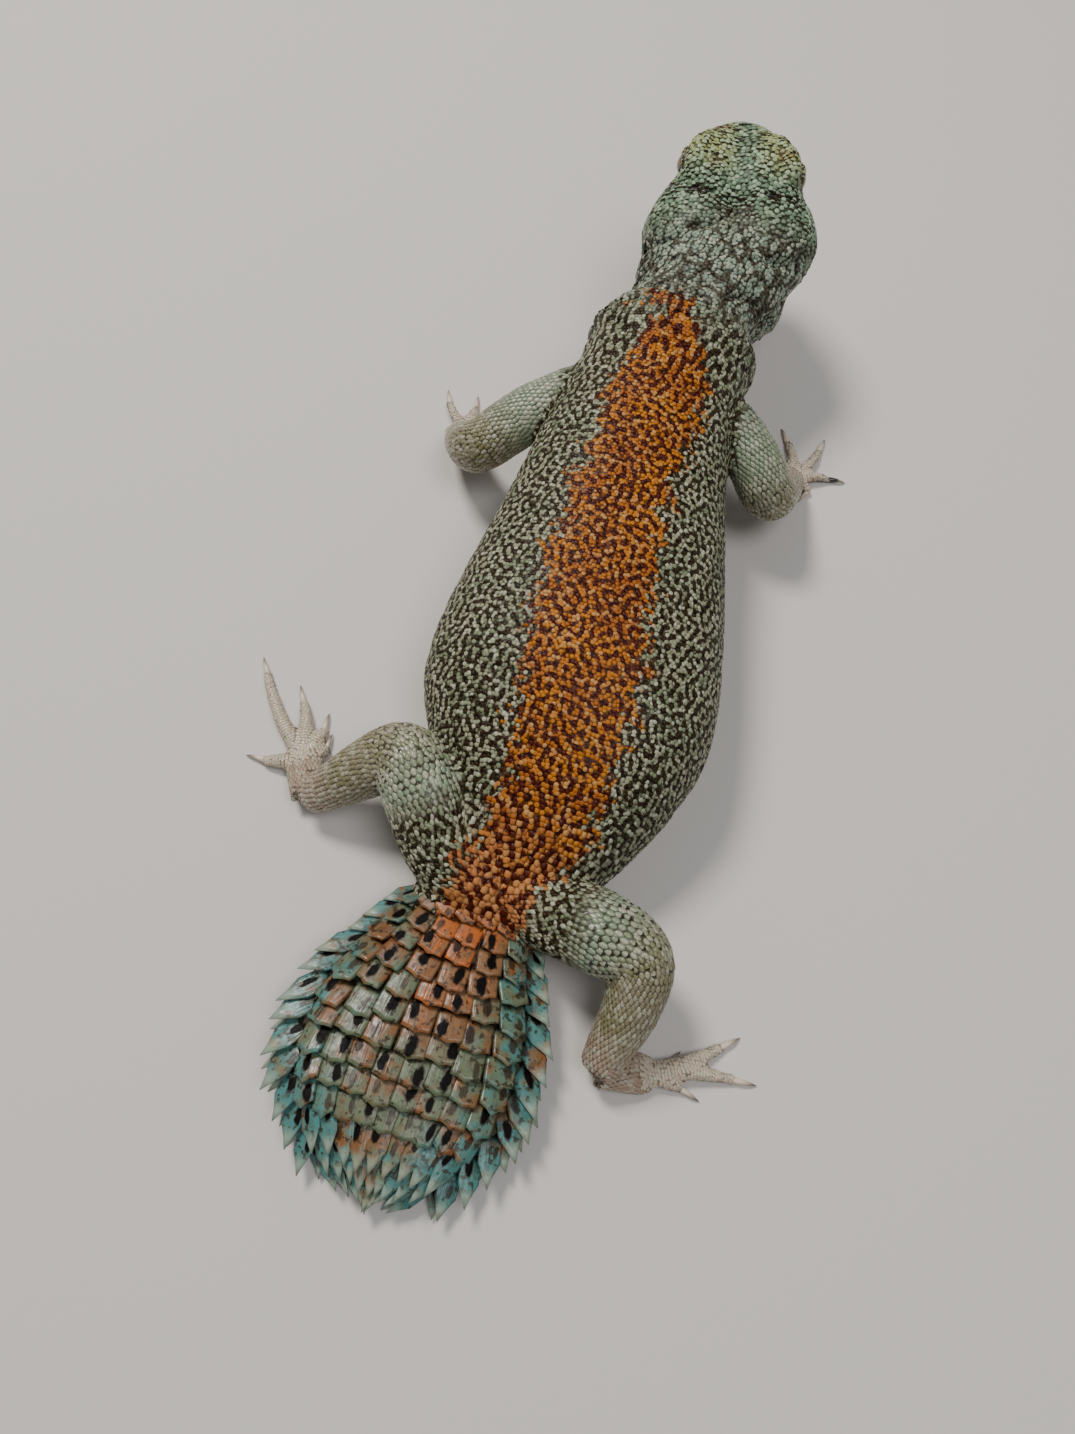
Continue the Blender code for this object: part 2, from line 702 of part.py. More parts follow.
def tail_scale(turn, place, rows, spacing, width):
    """One scale: a keeled square wedge with its root in the core. Towards the edges its end is a spine."""
    edge = abs(math.cos(turn)) ** 1.5
    mid = core_point(rows, place, turn)
    back = core_point(rows, max(place - 2.5, -99.8), turn)
    along = (back - mid).normalized()
    side_way = core_point(rows, place, turn + 0.05) - core_point(rows, place, turn - 0.05)
    side_way -= along * side_way.dot(along)
    side_way.normalize()
    out = side_way.cross(along)
    if out.z < -0.05:
        out = -out
    half = width * 0.5
    body = spacing * (1.10 - 0.30 * edge)
    point = spacing * (1.30 + 0.30 * edge)
    rise = (along + out * (0.06 + 0.34 * edge)).normalized()
    front = mid - along * 0.8
    points = [
        front - side_way * half - out * SCALE_SINK, front + side_way * half - out * SCALE_SINK,
        front - side_way * half * 0.96 + out * 0.1, front + side_way * half * 0.96 + out * 0.1,
        front + out * 0.4,
        mid + along * body - side_way * half * 0.97 + out * 0.75,
        mid + along * body + side_way * half * 0.97 + out * 0.75,
        mid + along * body * 0.92 + out * (1.15 + 0.35 * edge),
        mid + along * body - side_way * half * 0.8 - out * SCALE_SINK,
        mid + along * body + side_way * half * 0.8 - out * SCALE_SINK,
        mid + rise * point + out * 0.5,
    ]
    faces = [(0, 1, 9, 8), (0, 8, 5, 2), (1, 3, 6, 9), (0, 2, 4), (0, 4, 1), (1, 4, 3),
             (2, 5, 7, 4), (3, 4, 7, 6), (5, 10, 7), (7, 10, 6), (5, 8, 10), (8, 9, 10), (9, 6, 10)]
    return points, faces


def make_eyes(paints):
    for side, name in ((-1, "eye_left"), (1, "eye_right")):
        eye = ball(name, eye_centre(side), [EYE_RADIUS] * 3, head_frame().to_3x3(), 14)
        eye.data.materials.append(paints["eye"])
        eye.data.shade_smooth()


def to_origin():
    """Moves everything so that the floor's level and the middle of the outline lie at the origin."""
    corners = [v.co for obj in bpy.data.objects for v in obj.data.vertices]
    low = Vector([min(c[k] for c in corners) for k in range(3)])
    high = Vector([max(c[k] for c in corners) for k in range(3)])
    middle = Vector(((low.x + high.x) / 2, (low.y + high.y) / 2, FLOOR))
    for obj in bpy.data.objects:
        obj.data.transform(Matrix.Translation(-middle))


def main():
    clear_scene()
    paints = {
        "skin": material("scaly_skin", (0.36, 0.30, 0.20), 0.62),
        "leg": material("leg_skin", (0.52, 0.50, 0.40), 0.55),
        "tail": material("tail_scales", (0.36, 0.44, 0.38), 0.45),
        "eye": material("eye_surface", (0.03, 0.02, 0.015), 0.08),
    }
    body = make_body(paints)
    margin = grown(body, "margin", GAP)
    for name, plan in LEGS.items():
        make_leg(name, plan, margin, paints)
    nodes = part_body(body)
    remove(body, margin)
    nodes["head"] = combine(nodes["head"], [lid_ring(side) for side in (-1, 1)], "UNION")
    nodes["head"] = combine(nodes["head"], head_cutters(), "DIFFERENCE")
    nodes["tail"] = combine(nodes["tail"], tail_scales(), "UNION", "MANIFOLD")
    make_eyes(paints)
    for name, node in nodes.items():
        node.data.materials.clear()
        node.data.materials.append(paints["tail" if name == "tail" else "skin"])
    to_origin()


main()
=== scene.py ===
"""The dressed Omani spiny-tailed lizard: one skin over the solids, with its scales, eyes and claws.

Lengths are in millimetres in the lizard's own frame (+Y to the head, +X to its right, the floor at 0)
until settle_in_frame() moves a finished mesh to the solids' place, in metres.
"""

import functools
import math
import random

import bmesh
import bpy
import mathutils
import numpy as np
from mathutils import Matrix, Vector
from mathutils.bvhtree import BVHTree
from mathutils.kdtree import KDTree

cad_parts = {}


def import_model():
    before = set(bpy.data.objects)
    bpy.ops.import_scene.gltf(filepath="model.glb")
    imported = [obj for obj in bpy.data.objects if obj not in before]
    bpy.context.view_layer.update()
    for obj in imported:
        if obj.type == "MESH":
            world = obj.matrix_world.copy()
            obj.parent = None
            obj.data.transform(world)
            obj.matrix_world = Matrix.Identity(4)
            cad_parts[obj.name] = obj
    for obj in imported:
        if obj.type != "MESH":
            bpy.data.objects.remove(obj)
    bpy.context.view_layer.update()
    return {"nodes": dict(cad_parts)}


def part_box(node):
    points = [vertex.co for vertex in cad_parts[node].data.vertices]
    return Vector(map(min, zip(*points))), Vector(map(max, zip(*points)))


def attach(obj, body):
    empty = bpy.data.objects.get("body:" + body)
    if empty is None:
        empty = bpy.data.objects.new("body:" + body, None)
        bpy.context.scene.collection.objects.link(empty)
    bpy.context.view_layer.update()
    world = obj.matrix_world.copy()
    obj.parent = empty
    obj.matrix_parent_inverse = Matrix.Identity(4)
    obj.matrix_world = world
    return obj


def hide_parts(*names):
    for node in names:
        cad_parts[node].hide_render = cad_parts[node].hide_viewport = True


MM = 0.001
# How full the rounded sections of the body are: 2 gives an ellipse, more a squarer one
FULLNESS = 2.25
ROUNDING = 2.0 / FULLNESS

# Stations of the trunk: place along the body, sideways shift of the back, half width,
# height of the back, height of the widest level, height of the belly
TRUNK = [
    (-58.0, -3.0, 11.0, 12.4, 6.0, -1.0),
    (-50.0, 0.4, 13.0, 16.5, 7.4, -1.2),
    (-41.0, 3.0, 16.5, 21.5, 9.4, -1.6),
    (-32.0, 3.0, 21.2, 26.0, 11.2, -1.9),
    (-22.0, 2.1, 25.3, 29.5, 12.4, -2.0),
    (-12.0, 1.5, 25.8, 31.5, 13.0, -2.0),
    (0.0, 1.0, 24.2, 32.6, 13.8, -1.6),
    (14.0, 0.4, 21.4, 33.4, 15.2, -0.2),
    (28.0, -0.5, 18.7, 34.0, 17.0, 2.6),
    (40.0, -0.5, 16.9, 34.4, 18.8, 5.6),
    (50.0, 0.1, 15.8, 34.6, 20.6, 8.0),
    (56.0, 0.2, 15.7, 35.0, 22.2, 9.8),
    (59.5, 0.6, 13.2, 35.4, 23.0, 11.0),
    (63.0, 2.1, 12.0, 35.8, 23.8, 12.4),
    (69.0, 3.3, 14.5, 36.8, 24.8, 13.0),
    (77.0, 3.4, 14.8, 38.0, 26.8, 15.2),
    (82.0, 3.6, 13.0, 37.6, 27.4, 18.2),
]

# Loose folds of skin on the neck and over the shoulders: place on the body at the fold's upper end and
# at its lower end, turns round the section at both (0 is the right side, 90 the back), and thickness
FOLDS = [
    (55.6, 53.6, 142, 250, 1.6),
    (50.8, 49.0, 150, 235, 1.3),
    (56.0, 53.5, 38, -70, 1.7),
    (67.0, 63.0, 150, 262, 1.5),
    (72.0, 66.0, 28, -75, 1.1),
    (78.0, 73.5, 145, 250, 1.2),
]

# Stations of the tail's core, in the same order of sizes, without its scales
TAIL = [
    (-50.0, 0.4, 10.6, 14.0, 6.4, 0.8),
    (-57.0, -2.8, 11.4, 12.0, 5.8, -0.6),
    (-62.0, -4.0, 13.2, 11.6, 5.4, -1.2),
    (-68.0, -4.6, 16.0, 11.2, 5.0, -1.4),
    (-74.0, -4.9, 17.9, 10.6, 4.8, -1.4),
    (-80.0, -5.1, 18.6, 9.8, 4.6, -1.3),
    (-86.0, -5.1, 17.8, 8.8, 4.2, -1.1),
    (-92.0, -5.0, 14.9, 7.4, 3.6, -0.7),
    (-97.0, -4.7, 10.2, 5.6, 2.9, 0.2),
    (-99.5, -4.5, 6.2, 4.4, 2.4, 0.6),
    (-101.0, -4.4, 2.4, 3.6, 2.2, 1.0),
]

# The head hangs on the tip of its snout. Its stations run back from there: distance, half width,
# rise above the head's axis and drop below it
SNOUT = Vector((0.6, 103.8, 33.0))
HEAD_YAW = math.radians(9.3)
HEAD_PITCH = math.radians(8.0)
HEAD = [
    (0.0, 2.4, 1.8, 2.4),
    (0.9, 4.6, 4.0, 4.0),
    (2.8, 6.6, 6.4, 5.2),
    (6.0, 8.6, 8.6, 6.4),
    (10.0, 10.6, 10.0, 7.6),
    (14.0, 12.4, 10.5, 8.8),
    (18.0, 14.6, 10.3, 10.0),
    (22.0, 16.4, 9.7, 11.0),
    (26.0, 16.8, 8.8, 11.6),
    (30.0, 15.2, 7.8, 11.6),
    (34.0, 12.6, 6.6, 10.2),
]

# The ridge from the brow to the nostril: distance from the middle, distance back, height and radius
SNOUT_RIDGE = [(8.0, 12.0, 7.0, 1.9), (6.9, 8.6, 6.5, 1.8), (5.3, 5.6, 5.1, 1.7), (3.6, 3.4, 3.2, 1.5)]

EYE_BACK = 13.0
EYE_UP = 4.4
EYE_RADIUS = 2.7
EYE_SINK = 1.25
SOCKET_ROOM = 0.3
LID_RADIUS = 0.85
NOSTRIL_BACK = 2.6
NOSTRIL_UP = 2.0
NOSTRIL_RADIUS = 0.75
EAR_BACK = 28.6
EAR_UP = -1.6
EAR_HALF = (1.7, 1.25, 2.7)
MOUTH = [(0.0, -1.2), (5.0, -1.9), (10.0, -2.7), (15.0, -3.3), (19.5, -2.4)]
MOUTH_WIDTH = 0.55
MOUTH_DEPTH = 1.0

# Legs: points of the bones with the flesh's radius at each, then the palm and the tips of the
# five toes from the inner to the outer one. Cuts lie at the knee or elbow and at the ankle or wrist
LEGS = {
    "foreleg_left": {
        "bone": [(-8, 46.2, 22, 5.0), (-15.5, 40.3, 21, 5.1), (-22.4, 34.8, 18.6, 5.3),
                 (-29.3, 28.6, 14.2, 5.2),
                 (-33.2, 31, 10, 4.4), (-35.6, 35.2, 6, 3.3), (-36.4, 38, 3.6, 2.7)],
        "joint": 3,
        "palm": (-37.2, 40, 1.1, 2.3),
        "toes": [(-31.2, 42.6), (-33.4, 46.2), (-36.4, 48.4), (-43.2, 47.8), (-41.4, 38.8)],
        "toe_radius": 0.72,
    },
    "foreleg_right": {
        "bone": [(8, 47, 22, 5.0), (15.4, 43.2, 21, 5.1), (21.3, 39.4, 18, 5.3), (25.6, 36.4, 14, 5.2),
                 (28, 40.2, 10, 4.3), (29.8, 45.6, 6, 3.2), (30.6, 48.8, 3.6, 2.7)],
        "joint": 3,
        "palm": (31.2, 51, 1.1, 2.3),
        "toes": [(26, 55), (27.2, 62.3), (35.5, 62.3), (40, 54.6), (35.9, 48.6)],
        "toe_radius": 0.72,
    },
    "hindleg_left": {
        "bone": [(-1, -52, 9, 6.2), (-9.5, -48.5, 12, 6.9), (-16, -41.5, 15.8, 7), (-21.4, -36.6, 16.4, 5.8),
                 (-28, -40, 11.6, 5), (-33.4, -43.2, 6.8, 3.9), (-36.6, -44.4, 4.2, 3.4)],
        "joint": 3,
        "palm": (-40.6, -38.2, 1.3, 3.4),
        "toes": [(-36.9, -33.4), (-39.4, -29.4), (-46.0, -25.4), (-55.0, -22.4), (-49.4, -40.4)],
        "toe_radius": 0.95,
    },
    "hindleg_right": {
        "bone": [(1, -50, 8.4, 6), (9.6, -52.8, 11.2, 6.5), (18, -54.4, 15, 6.8), (25.1, -56.8, 15.2, 5.7),
                 (26.2, -63.4, 11.4, 4.8), (25, -69.6, 6.8, 3.9), (24.4, -73, 4.2, 3.4)],
        "joint": 3,
        "palm": (31, -71.6, 1.3, 3.4),
        "toes": [(36.6, -68.0), (40.4, -65.4), (44.9, -62.2), (48.6, -67.4), (40.2, -71.9)],
        "toe_radius": 0.95,
    },
}
# A claw's length over the toe's end, and with the root that is sunk in the toe
CLAW_LENGTH = 2.6
CLAW_FULL = CLAW_LENGTH + 1.2
CLAW_RADIUS = 0.5

# The tail's scales stand in whorls, from its root to its tip
WHORLS = 13
WHORL_START = -55.5
WHORL_STEP = 2.5
WHORL_SWELL = 1.45
TAIL_END = -100.2

# Where the orange stripe of the back lies: place along the body, its left edge and its right edge
STRIPE = [
    (56.0, -1.5, 1.0), (51.0, -4.0, 4.0), (47.0, -5.7, 6.5), (41.0, -6.4, 8.8), (36.0, -7.6, 9.1),
    (30.0, -8.6, 9.2), (25.0, -8.0, 9.2), (19.0, -7.2, 8.8), (12.0, -8.4, 8.2), (5.0, -8.6, 9.6),
    (-4.0, -8.1, 11.0), (-12.0, -7.8, 12.1), (-20.0, -6.2, 13.2), (-28.0, -5.2, 12.7), (-36.0, -3.7, 13.3),
    (-43.0, -4.5, 12.1), (-48.0, -5.4, 9.3), (-53.4, -7.2, 6.2), (-58.0, -8.8, 5.1), (-63.0, -8.2, 4.4),
    (-70.0, -6.8, 3.1), (-78.0, -6.2, 2.7), (-86.0, -5.5, 1.5), (-90.0, -4.5, -4.5),
]
NAPE_SPOT = (-1.6, 55.4, 3.0, 1.7)

# Sizes of the coat: how far apart the scales stand, by place
BACK_PITCH = 0.75
HEAD_PITCH_TOP = 1.0
HEAD_PITCH_SIDE = 0.80
LID_PITCH = 0.6
RUMP_PITCH = 1.25
ARM_PITCH = 1.12
THIGH_PITCH = 1.18
FOOT_PITCH = 0.92
TOE_PITCH = 0.84
TAIL_PITCH = 1.7
ROW_STEP = 0.87
# Where the rows of scales start and stop, as places along the body, on the trunk and on the tail's core
TRUNK_ROWS = (75.0, -57.6)
TAIL_ROWS = (-52.0, -100.0)
# Rows on a limb stop here, as shares of its length, so that none turns round its end
LIMB_CLOTHED = 0.975
# The dark points of the thighs: where along the leg they stand, and how many of the places have one
DOTS_FROM, DOTS_TO, DOT_CHANCE = 0.36, 0.60, 0.62
# Places tried for the head's plates, and for small scales wherever the rows leave the skin bare, each
# with its random seed
HEAD_TRIES, HEAD_SEED = 60000, 11
GAP_TRIES, GAP_SEED = 160000, 12
# The coat's grid of cells, in which near scales are looked up
CELL = 1.6
# A keeled scale's point lies this far from its root for each millimetre of pitch. Where the skin bends
# away so that the point would hang further off it than POINT_HANG, as at the heels, the scale is smaller
POINT_REACH = 0.8
POINT_HANG = 0.16
POINT_SHRINK = 0.6
SKIN_VOXEL = 0.6
SKIN_SINK = 0.18
# Neither the skin nor a scale reaches lower over the floor than this
SKIN_LOWEST = 0.16
SCALE_LOWEST = 0.02
COAT_SEED = 5
# The worm-like marks of the flanks, those of the stripe and the net of the neck: the length of their
# waves and a random seed, and how many waves make up each
WORMS = ((1.48, 3), (1.66, 8), (2.3, 5))
WAVES = 44
# A scale's patch on the unwrap: how much of the scale it shows, and its size for each unit of that
PATCH_REACH = 1.3
PATCH_SIZE = 0.00115

# Kinds of scale, the labels of their pieces, and the half width, half length and height of one for each
# millimetre of pitch
GRANULE, KEELED, BELLY, PLATE, RUMP, BAND = range(6)
LABELS = ("granules", "keeled", "belly", "plates", "rump", "bands")
FILL = ((0.60, 0.58, 0.22), (0.66, 0.63, 0.24), (0.58, 0.58, 0.16), (0.55, 0.55, 0.22), (0.54, 0.54, 0.27),
        (0.60, 0.42, 0.20))
# What a scale stands on. On a limb the share of its length is added, times ZONE_RUN
ON_TRUNK, ON_FORELEG, ON_HINDLEG, ON_FOOT, ON_TOE, ON_HEAD, ON_LIP = 1, 3, 4, 5, 6, 7, 8
ZONE_RUN = 0.9

# Hollows of the hide: their lines, half width and depth
HOLLOWS = [
    ([(0.4, 95.0, 40.8), (1.5, 87.0, 41.0), (3.0, 81.0, 39.5)], 2.5, 1.5),
    ([(4.1, 78.6, 38.5), (4.4, 75.5, 37.8)], 3.4, 1.5),
    ([(-12.0, 73.5, 24.0), (-9.7, 71.1, 31.4), (-6.6, 70.9, 34.5), (-3.2, 72.6, 36.5), (0.5, 74.5, 37.6)],
     1.1, 1.3),
    ([(20.5, 81.0, 26.0), (19.3, 77.5, 32.7), (17.6, 73.6, 32.7), (13.9, 71.8, 34.4), (9.0, 73.0, 36.2)],
     1.1, 1.3),
    ([(-10.5, 59.0, 27.0), (-5.0, 58.5, 34.4), (2.0, 61.0, 35.4), (9.8, 62.9, 33.1), (16.4, 66.6, 25.7)],
     1.0, 0.75),
    ([(-8.4, 83.0, 35.5), (-5.4, 80.5, 37.4), (-1.6, 80.0, 38.8)], 1.0, 0.9),
    ([(16.0, 88.0, 35.0), (13.8, 84.2, 37.2), (9.6, 82.6, 38.9)], 1.0, 0.9),
]
# The brows, raised in the same way
BROWS = [
    ([(-4.8, 92.5, 40.9), (-6.6, 88.0, 40.0), (-6.2, 84.4, 38.8)], 2.1, -1.2),
    ([(8.2, 95.6, 40.0), (10.6, 92.0, 40.5), (12.2, 88.6, 39.9)], 2.1, -1.2),
]

# Colours, as sRGB
FLANK_PALE, FLANK_GREEN, FLANK_LIGHT, FLANK_DARK = "838269", "696F55", "ACAB96", "291D0B"
NECK_MINT, NECK_DARK, RUMP_SALMON = "7C8A79", "3C3325", "A06A42"
STRIPE_ORANGE, STRIPE_RUST, STRIPE_LIGHT, STRIPE_DARK = "A66210", "8C4B13", "AC834E", "401000"
# The head's speck colour on the next line is also its painted shade in the nape's hollow and the grooves
HEAD_YELLOW, HEAD_GREEN, HEAD_LIGHT, HEAD_SPECK_AND_SHADE = "8E9360", "63775F", "A3B496", "241C0E"
HEAD_RUST = "6A4420"
LEG_TAN, LEG_OLIVE, LEG_LIGHT = "7B725A", "706A48", "A8A591"
# The seam colour at the end of the next line is painted shade for the recesses between the scales
THIGH_MINT, FOOT_PINK, TOE_PALE, BELLY_CREAM, SEAM_SHADE = "77866E", "937E6B", "B5A38F", "B5AD96", "4A3B2A"
# The tail's pale rim colour at the end of the next line is a painted highlight
TAIL_TEAL, TAIL_TAN, TAIL_SAGE, TAIL_RIM_HIGHLIGHT = "40726F", "744B2B", "5B644D", "A0A893"
# The tail's seam colour on the next line is painted shade for its seams and the undersides of its scales
TAIL_ORANGE, TAIL_ROSE, TAIL_SEAM_SHADE, TAIL_BLACK = "BC5812", "7C5638", "181009", "080504"
TAIL_SPECK, TAIL_DUST = "2B190B", "35301F"
CLAW_ROOT, CLAW_POINT, CLAW_DARK = "C8B7A2", "5C4A3C", "221C19"
IRIS_DARK, IRIS_BROWN, IRIS_RIM, IRIS_EDGE, PUPIL = "3B2413", "7A5027", "A9793A", "1A120D", "050403"
PAPER = "C3BDB8"

CAMERA_PLACE = (10.23, -92.61, 185.0)
CAMERA_TURNS = (10.11, 22.80, 7.76)
CAMERA_LENS = 27.04


def link_object(name, data):
    """A new object in the scene that shows the data."""
    made = bpy.data.objects.new(name, data)
    bpy.context.scene.collection.objects.link(made)
    return made


def object_from(name, shape):
    """A new object from a bmesh, which is given up."""
    mesh = bpy.data.meshes.new(name)
    shape.to_mesh(mesh)
    shape.free()
    return link_object(name, mesh)


def add_object(name, points, faces):
    """A mesh object from points in millimetres, with its faces turned outwards."""
    mesh = bpy.data.meshes.new(name)
    mesh.from_pydata([tuple(c * MM for c in p) for p in points], [], faces)
    made = link_object(name, mesh)
    outward(made)
    return made


def remove(*objects):
    for old in objects:
        bpy.data.objects.remove(old, do_unlink=True)


def smooth_rows(rows, steps):
    """Rows read off a smooth curve that passes through the given ones, with steps to each stretch."""
    rows = np.array(rows, float)
    padded = np.vstack([2 * rows[0] - rows[1], rows, 2 * rows[-1] - rows[-2]])
    out = []
    for i in range(len(rows) - 1):
        a, b, c, d = padded[i:i + 4]
        for k in range(steps):
            t = k / steps
            out.append(0.5 * (2 * b + (c - a) * t + (2 * a - 5 * b + 4 * c - d) * t * t
                              + (3 * b - a - 3 * c + d) * t ** 3))
    out.append(rows[-1])
    return np.array(out)


def row_at(rows, place):
    """The row of sizes at a place along the first column of a smooth table."""
    order = np.argsort(rows[:, 0])
    return np.array([np.interp(place, rows[order, 0], rows[order, k]) for k in range(rows.shape[1])])


def powered(value, power):
    return math.copysign(abs(value) ** power, value)


def section(half, rise, drop, sides):
    """(sideways, up) points round a rounded section, widest at height 0."""
    ring = []
    for k in range(sides):
        turn = 2 * math.pi * k / sides
        up = rise if math.sin(turn) >= 0 else drop
        ring.append((half * powered(math.cos(turn), ROUNDING), up * powered(math.sin(turn), ROUNDING)))
    return ring


def band(low, high, sides):
    """Faces between two rings of points, each given by the number of its first point."""
    return [(low + k, low + (k + 1) % sides, high + (k + 1) % sides, high + k) for k in range(sides)]


def skin_over(name, rings):
    """A closed skin over rings that all have as many points, with a fan at each end."""
    sides = len(rings[0])
    points = [tuple(p) for ring in rings for p in ring]
    faces = []
    for i in range(len(rings) - 1):
        faces += band(i * sides, (i + 1) * sides, sides)
    for ring, base, turned in ((rings[0], 0, True), (rings[-1], (len(rings) - 1) * sides, False)):
        middle = len(points)
        points.append(tuple(np.mean(np.array([tuple(p) for p in ring]), axis=0)))
        for k in range(sides):
            j = (k + 1) % sides
            faces.append((base + j, base + k, middle) if turned else (base + k, base + j, middle))
    return add_object(name, points, faces)


def outward(obj):
    """Turns the faces outwards."""
    shape = bmesh.new()
    shape.from_mesh(obj.data)
    bmesh.ops.recalc_face_normals(shape, faces=shape.faces)
    shape.to_mesh(obj.data)
    shape.free()


def station_loft(name, stations, sides, steps):
    rings = []
    for place, shift, half, top, wide, low in smooth_rows(stations, steps):
        rings.append([(shift + a, place, wide + b) for a, b in section(half, top - wide, wide - low, sides)])
    return skin_over(name, rings)


def walk(rows):
    """Place, radius, and the ways ahead, sideways and up, at each row of (x, y, z, radius)."""
    side = None
    for i, row in enumerate(rows):
        ahead = Vector(rows[min(i + 1, len(rows) - 1)][:3]) - Vector(rows[max(i - 1, 0)][:3])
        ahead.normalize()
        side = ahead.cross(Vector((0, 0, 1))) if side is None else side - ahead * side.dot(ahead)
        side.normalize()
        yield Vector(row[:3]), row[3], ahead, side, side.cross(ahead)


def tube(name, path, sides, steps, flatten=1.0):
    """A round tube along (x, y, z, radius) points."""
    rows = smooth_rows(path, steps) if len(path) > 2 else np.array(path, float)
    turns = [2 * math.pi * k / sides for k in range(sides)]
    rings = []
    for here, radius, _, side, up in walk(rows):
        rings.append([here + side * (radius * math.cos(turn)) + up * (radius * flatten * math.sin(turn))
                      for turn in turns])
    return skin_over(name, rings)


def ball(name, centre, half, turn=None, rounds=16):
    """An ellipsoid."""
    shape = bmesh.new()
    bmesh.ops.create_uvsphere(shape, u_segments=rounds, v_segments=rounds // 2, radius=1.0)
    place = Matrix.Translation(Vector(centre) * MM)
    if turn is not None:
        place = place @ turn.to_4x4()
    size = Matrix.Diagonal((half[0] * MM, half[1] * MM, half[2] * MM, 1.0))
    bmesh.ops.transform(shape, matrix=place @ size, verts=shape.verts)
    return object_from(name, shape)


def settle(obj):
    """Replaces the object's mesh with what its modifiers make of it."""
    bpy.context.view_layer.update()
    graph = bpy.context.evaluated_depsgraph_get()
    made = bpy.data.meshes.new_from_object(obj.evaluated_get(graph))
    obj.modifiers.clear()
    obj.data = made
    return obj


def join(name, pieces):
    """One object that holds all the pieces' meshes."""
    shape = bmesh.new()
    for piece in pieces:
        shape.from_mesh(piece.data)
    remove(*pieces)
    return object_from(name, shape)


def largest_body(obj):
    """Keeps only the largest closed surface of the mesh."""
    shape = bmesh.new()
    shape.from_mesh(obj.data)
    left = set(shape.verts)
    groups = []
    while left:
        stack = [left.pop()]
        group = set(stack)
        while stack:
            for edge in stack.pop().link_edges:
                for vert in edge.verts:
                    if vert in left:
                        left.discard(vert)
                        group.add(vert)
                        stack.append(vert)
        groups.append(group)
    keep = max(groups, key=len)
    bmesh.ops.delete(shape, geom=[v for v in shape.verts if v not in keep], context="VERTS")
    shape.to_mesh(obj.data)
    shape.free()
    return obj


def combine(obj, others, operation, solver="EXACT"):
    """Joins the other objects to this one, or cuts them from it, and removes them."""
    group = bpy.data.collections.new("tools")
    bpy.context.scene.collection.children.link(group)
    for other in others:
        bpy.context.scene.collection.objects.unlink(other)
        group.objects.link(other)
    act = obj.modifiers.new("act", "BOOLEAN")
    act.operation = operation
    act.solver = solver
    act.operand_type = "COLLECTION"
    act.collection = group
    settle(obj)
    remove(*others)
    bpy.data.collections.remove(group)
    return largest_body(obj)


def fold_paths():
    """The path of each fold of the neck, just under the skin, thickest in its middle."""
    rows = smooth_rows(TRUNK, 4)
    paths = []
    for upper, lower, start, end, thick in FOLDS:
        path = []
        for k in range(9):
            t = k / 8
            _, shift, half, top, wide, low = row_at(rows, upper + (lower - upper) * t)
            turn = math.radians(start + (end - start) * t)
            rise = top - wide if math.sin(turn) >= 0 else wide - low
            radius = thick * (0.35 + 0.65 * math.sin(math.pi * t))
            path.append((shift + (half - 0.5 * radius) * powered(math.cos(turn), ROUNDING),
                         upper + (lower - upper) * t,
                         wide + (rise - 0.5 * radius) * powered(math.sin(turn), ROUNDING), radius))
        paths.append(path)
    return paths


def head_frame():
    """From the head's own directions (right, forwards, up), at the tip of the snout, to the body's."""
    return (Matrix.Translation(SNOUT) @ Matrix.Rotation(HEAD_YAW, 4, "Z")
            @ Matrix.Rotation(HEAD_PITCH, 4, "X"))


def head_point(right, back, up):
    return head_frame() @ Vector((right, -back, up))


def head_side(back, up):
    """Half the head's width at a distance behind the snout and a height over its axis."""
    _, half, rise, drop = row_at(smooth_rows(HEAD, 4), back)
    level = min(0.98, abs(up) / (rise if up >= 0 else drop))
    return half * (1 - level ** FULLNESS) ** (1 / FULLNESS)


def lid_ring(side):
    """The thick rims of both lids, as one closed loop round the eye."""
    eye = head_side(EYE_BACK, EYE_UP) + 0.15
    turns = 14
    sides = 6
    points = []
    faces = []
    for i in range(turns):
        a = 2 * math.pi * i / turns
        back = EYE_BACK + 3.1 * math.cos(a)
        up = EYE_UP + 2.0 * math.sin(a)
        out = eye - 0.22 * abs(math.cos(a)) ** 2 * 3.0
        for k in range(sides):
            b = 2 * math.pi * k / sides
            away = LID_RADIUS * math.cos(b)
            points.append(head_point(side * (out + LID_RADIUS * math.sin(b)), back + away * math.cos(a),
                                     up + away * math.sin(a)))
    for i in range(turns):
        faces += band(i * sides, (i + 1) % turns * sides, sides)
    return add_object("lids", points, faces)


def mouth_cut():
    """A thin blade that follows the line of the mouth round the snout."""
    line = smooth_rows(MOUTH, 3)
    left = [(-head_side(b, z), b, z) for b, z in line[::-1]]
    right = [(head_side(b, z), b, z) for b, z in line[1:]]
    front = [(0.0, -0.6, MOUTH[0][1])]
    route = left[:-1] + front + right
    points = []
    faces = []
    for out, back, up in route:
        inward = max(0.0, abs(out) - MOUTH_DEPTH)
        outer = abs(out) + 1.2
        sign = 0.0 if out == 0 else math.copysign(1.0, out)
        nose = MOUTH_DEPTH if sign == 0 else 0.0
        for reach, depth, lift in ((outer, -1.2, -0.5), (outer, -1.2, 0.5),
                                   (inward, 1.0, 0.5), (inward, 1.0, -0.5)):
            points.append(head_point(sign * reach, back + nose * depth, up + lift * MOUTH_WIDTH))
    for i in range(len(route) - 1):
        faces += band(4 * i, 4 * i + 4, 4)
    last = 4 * (len(route) - 1)
    faces += [(3, 2, 1, 0), (last, last + 1, last + 2, last + 3)]
    return add_object("mouth", points, faces)


def eye_centre(side):
    return head_point(side * (head_side(EYE_BACK, EYE_UP) - EYE_SINK), EYE_BACK, EYE_UP)


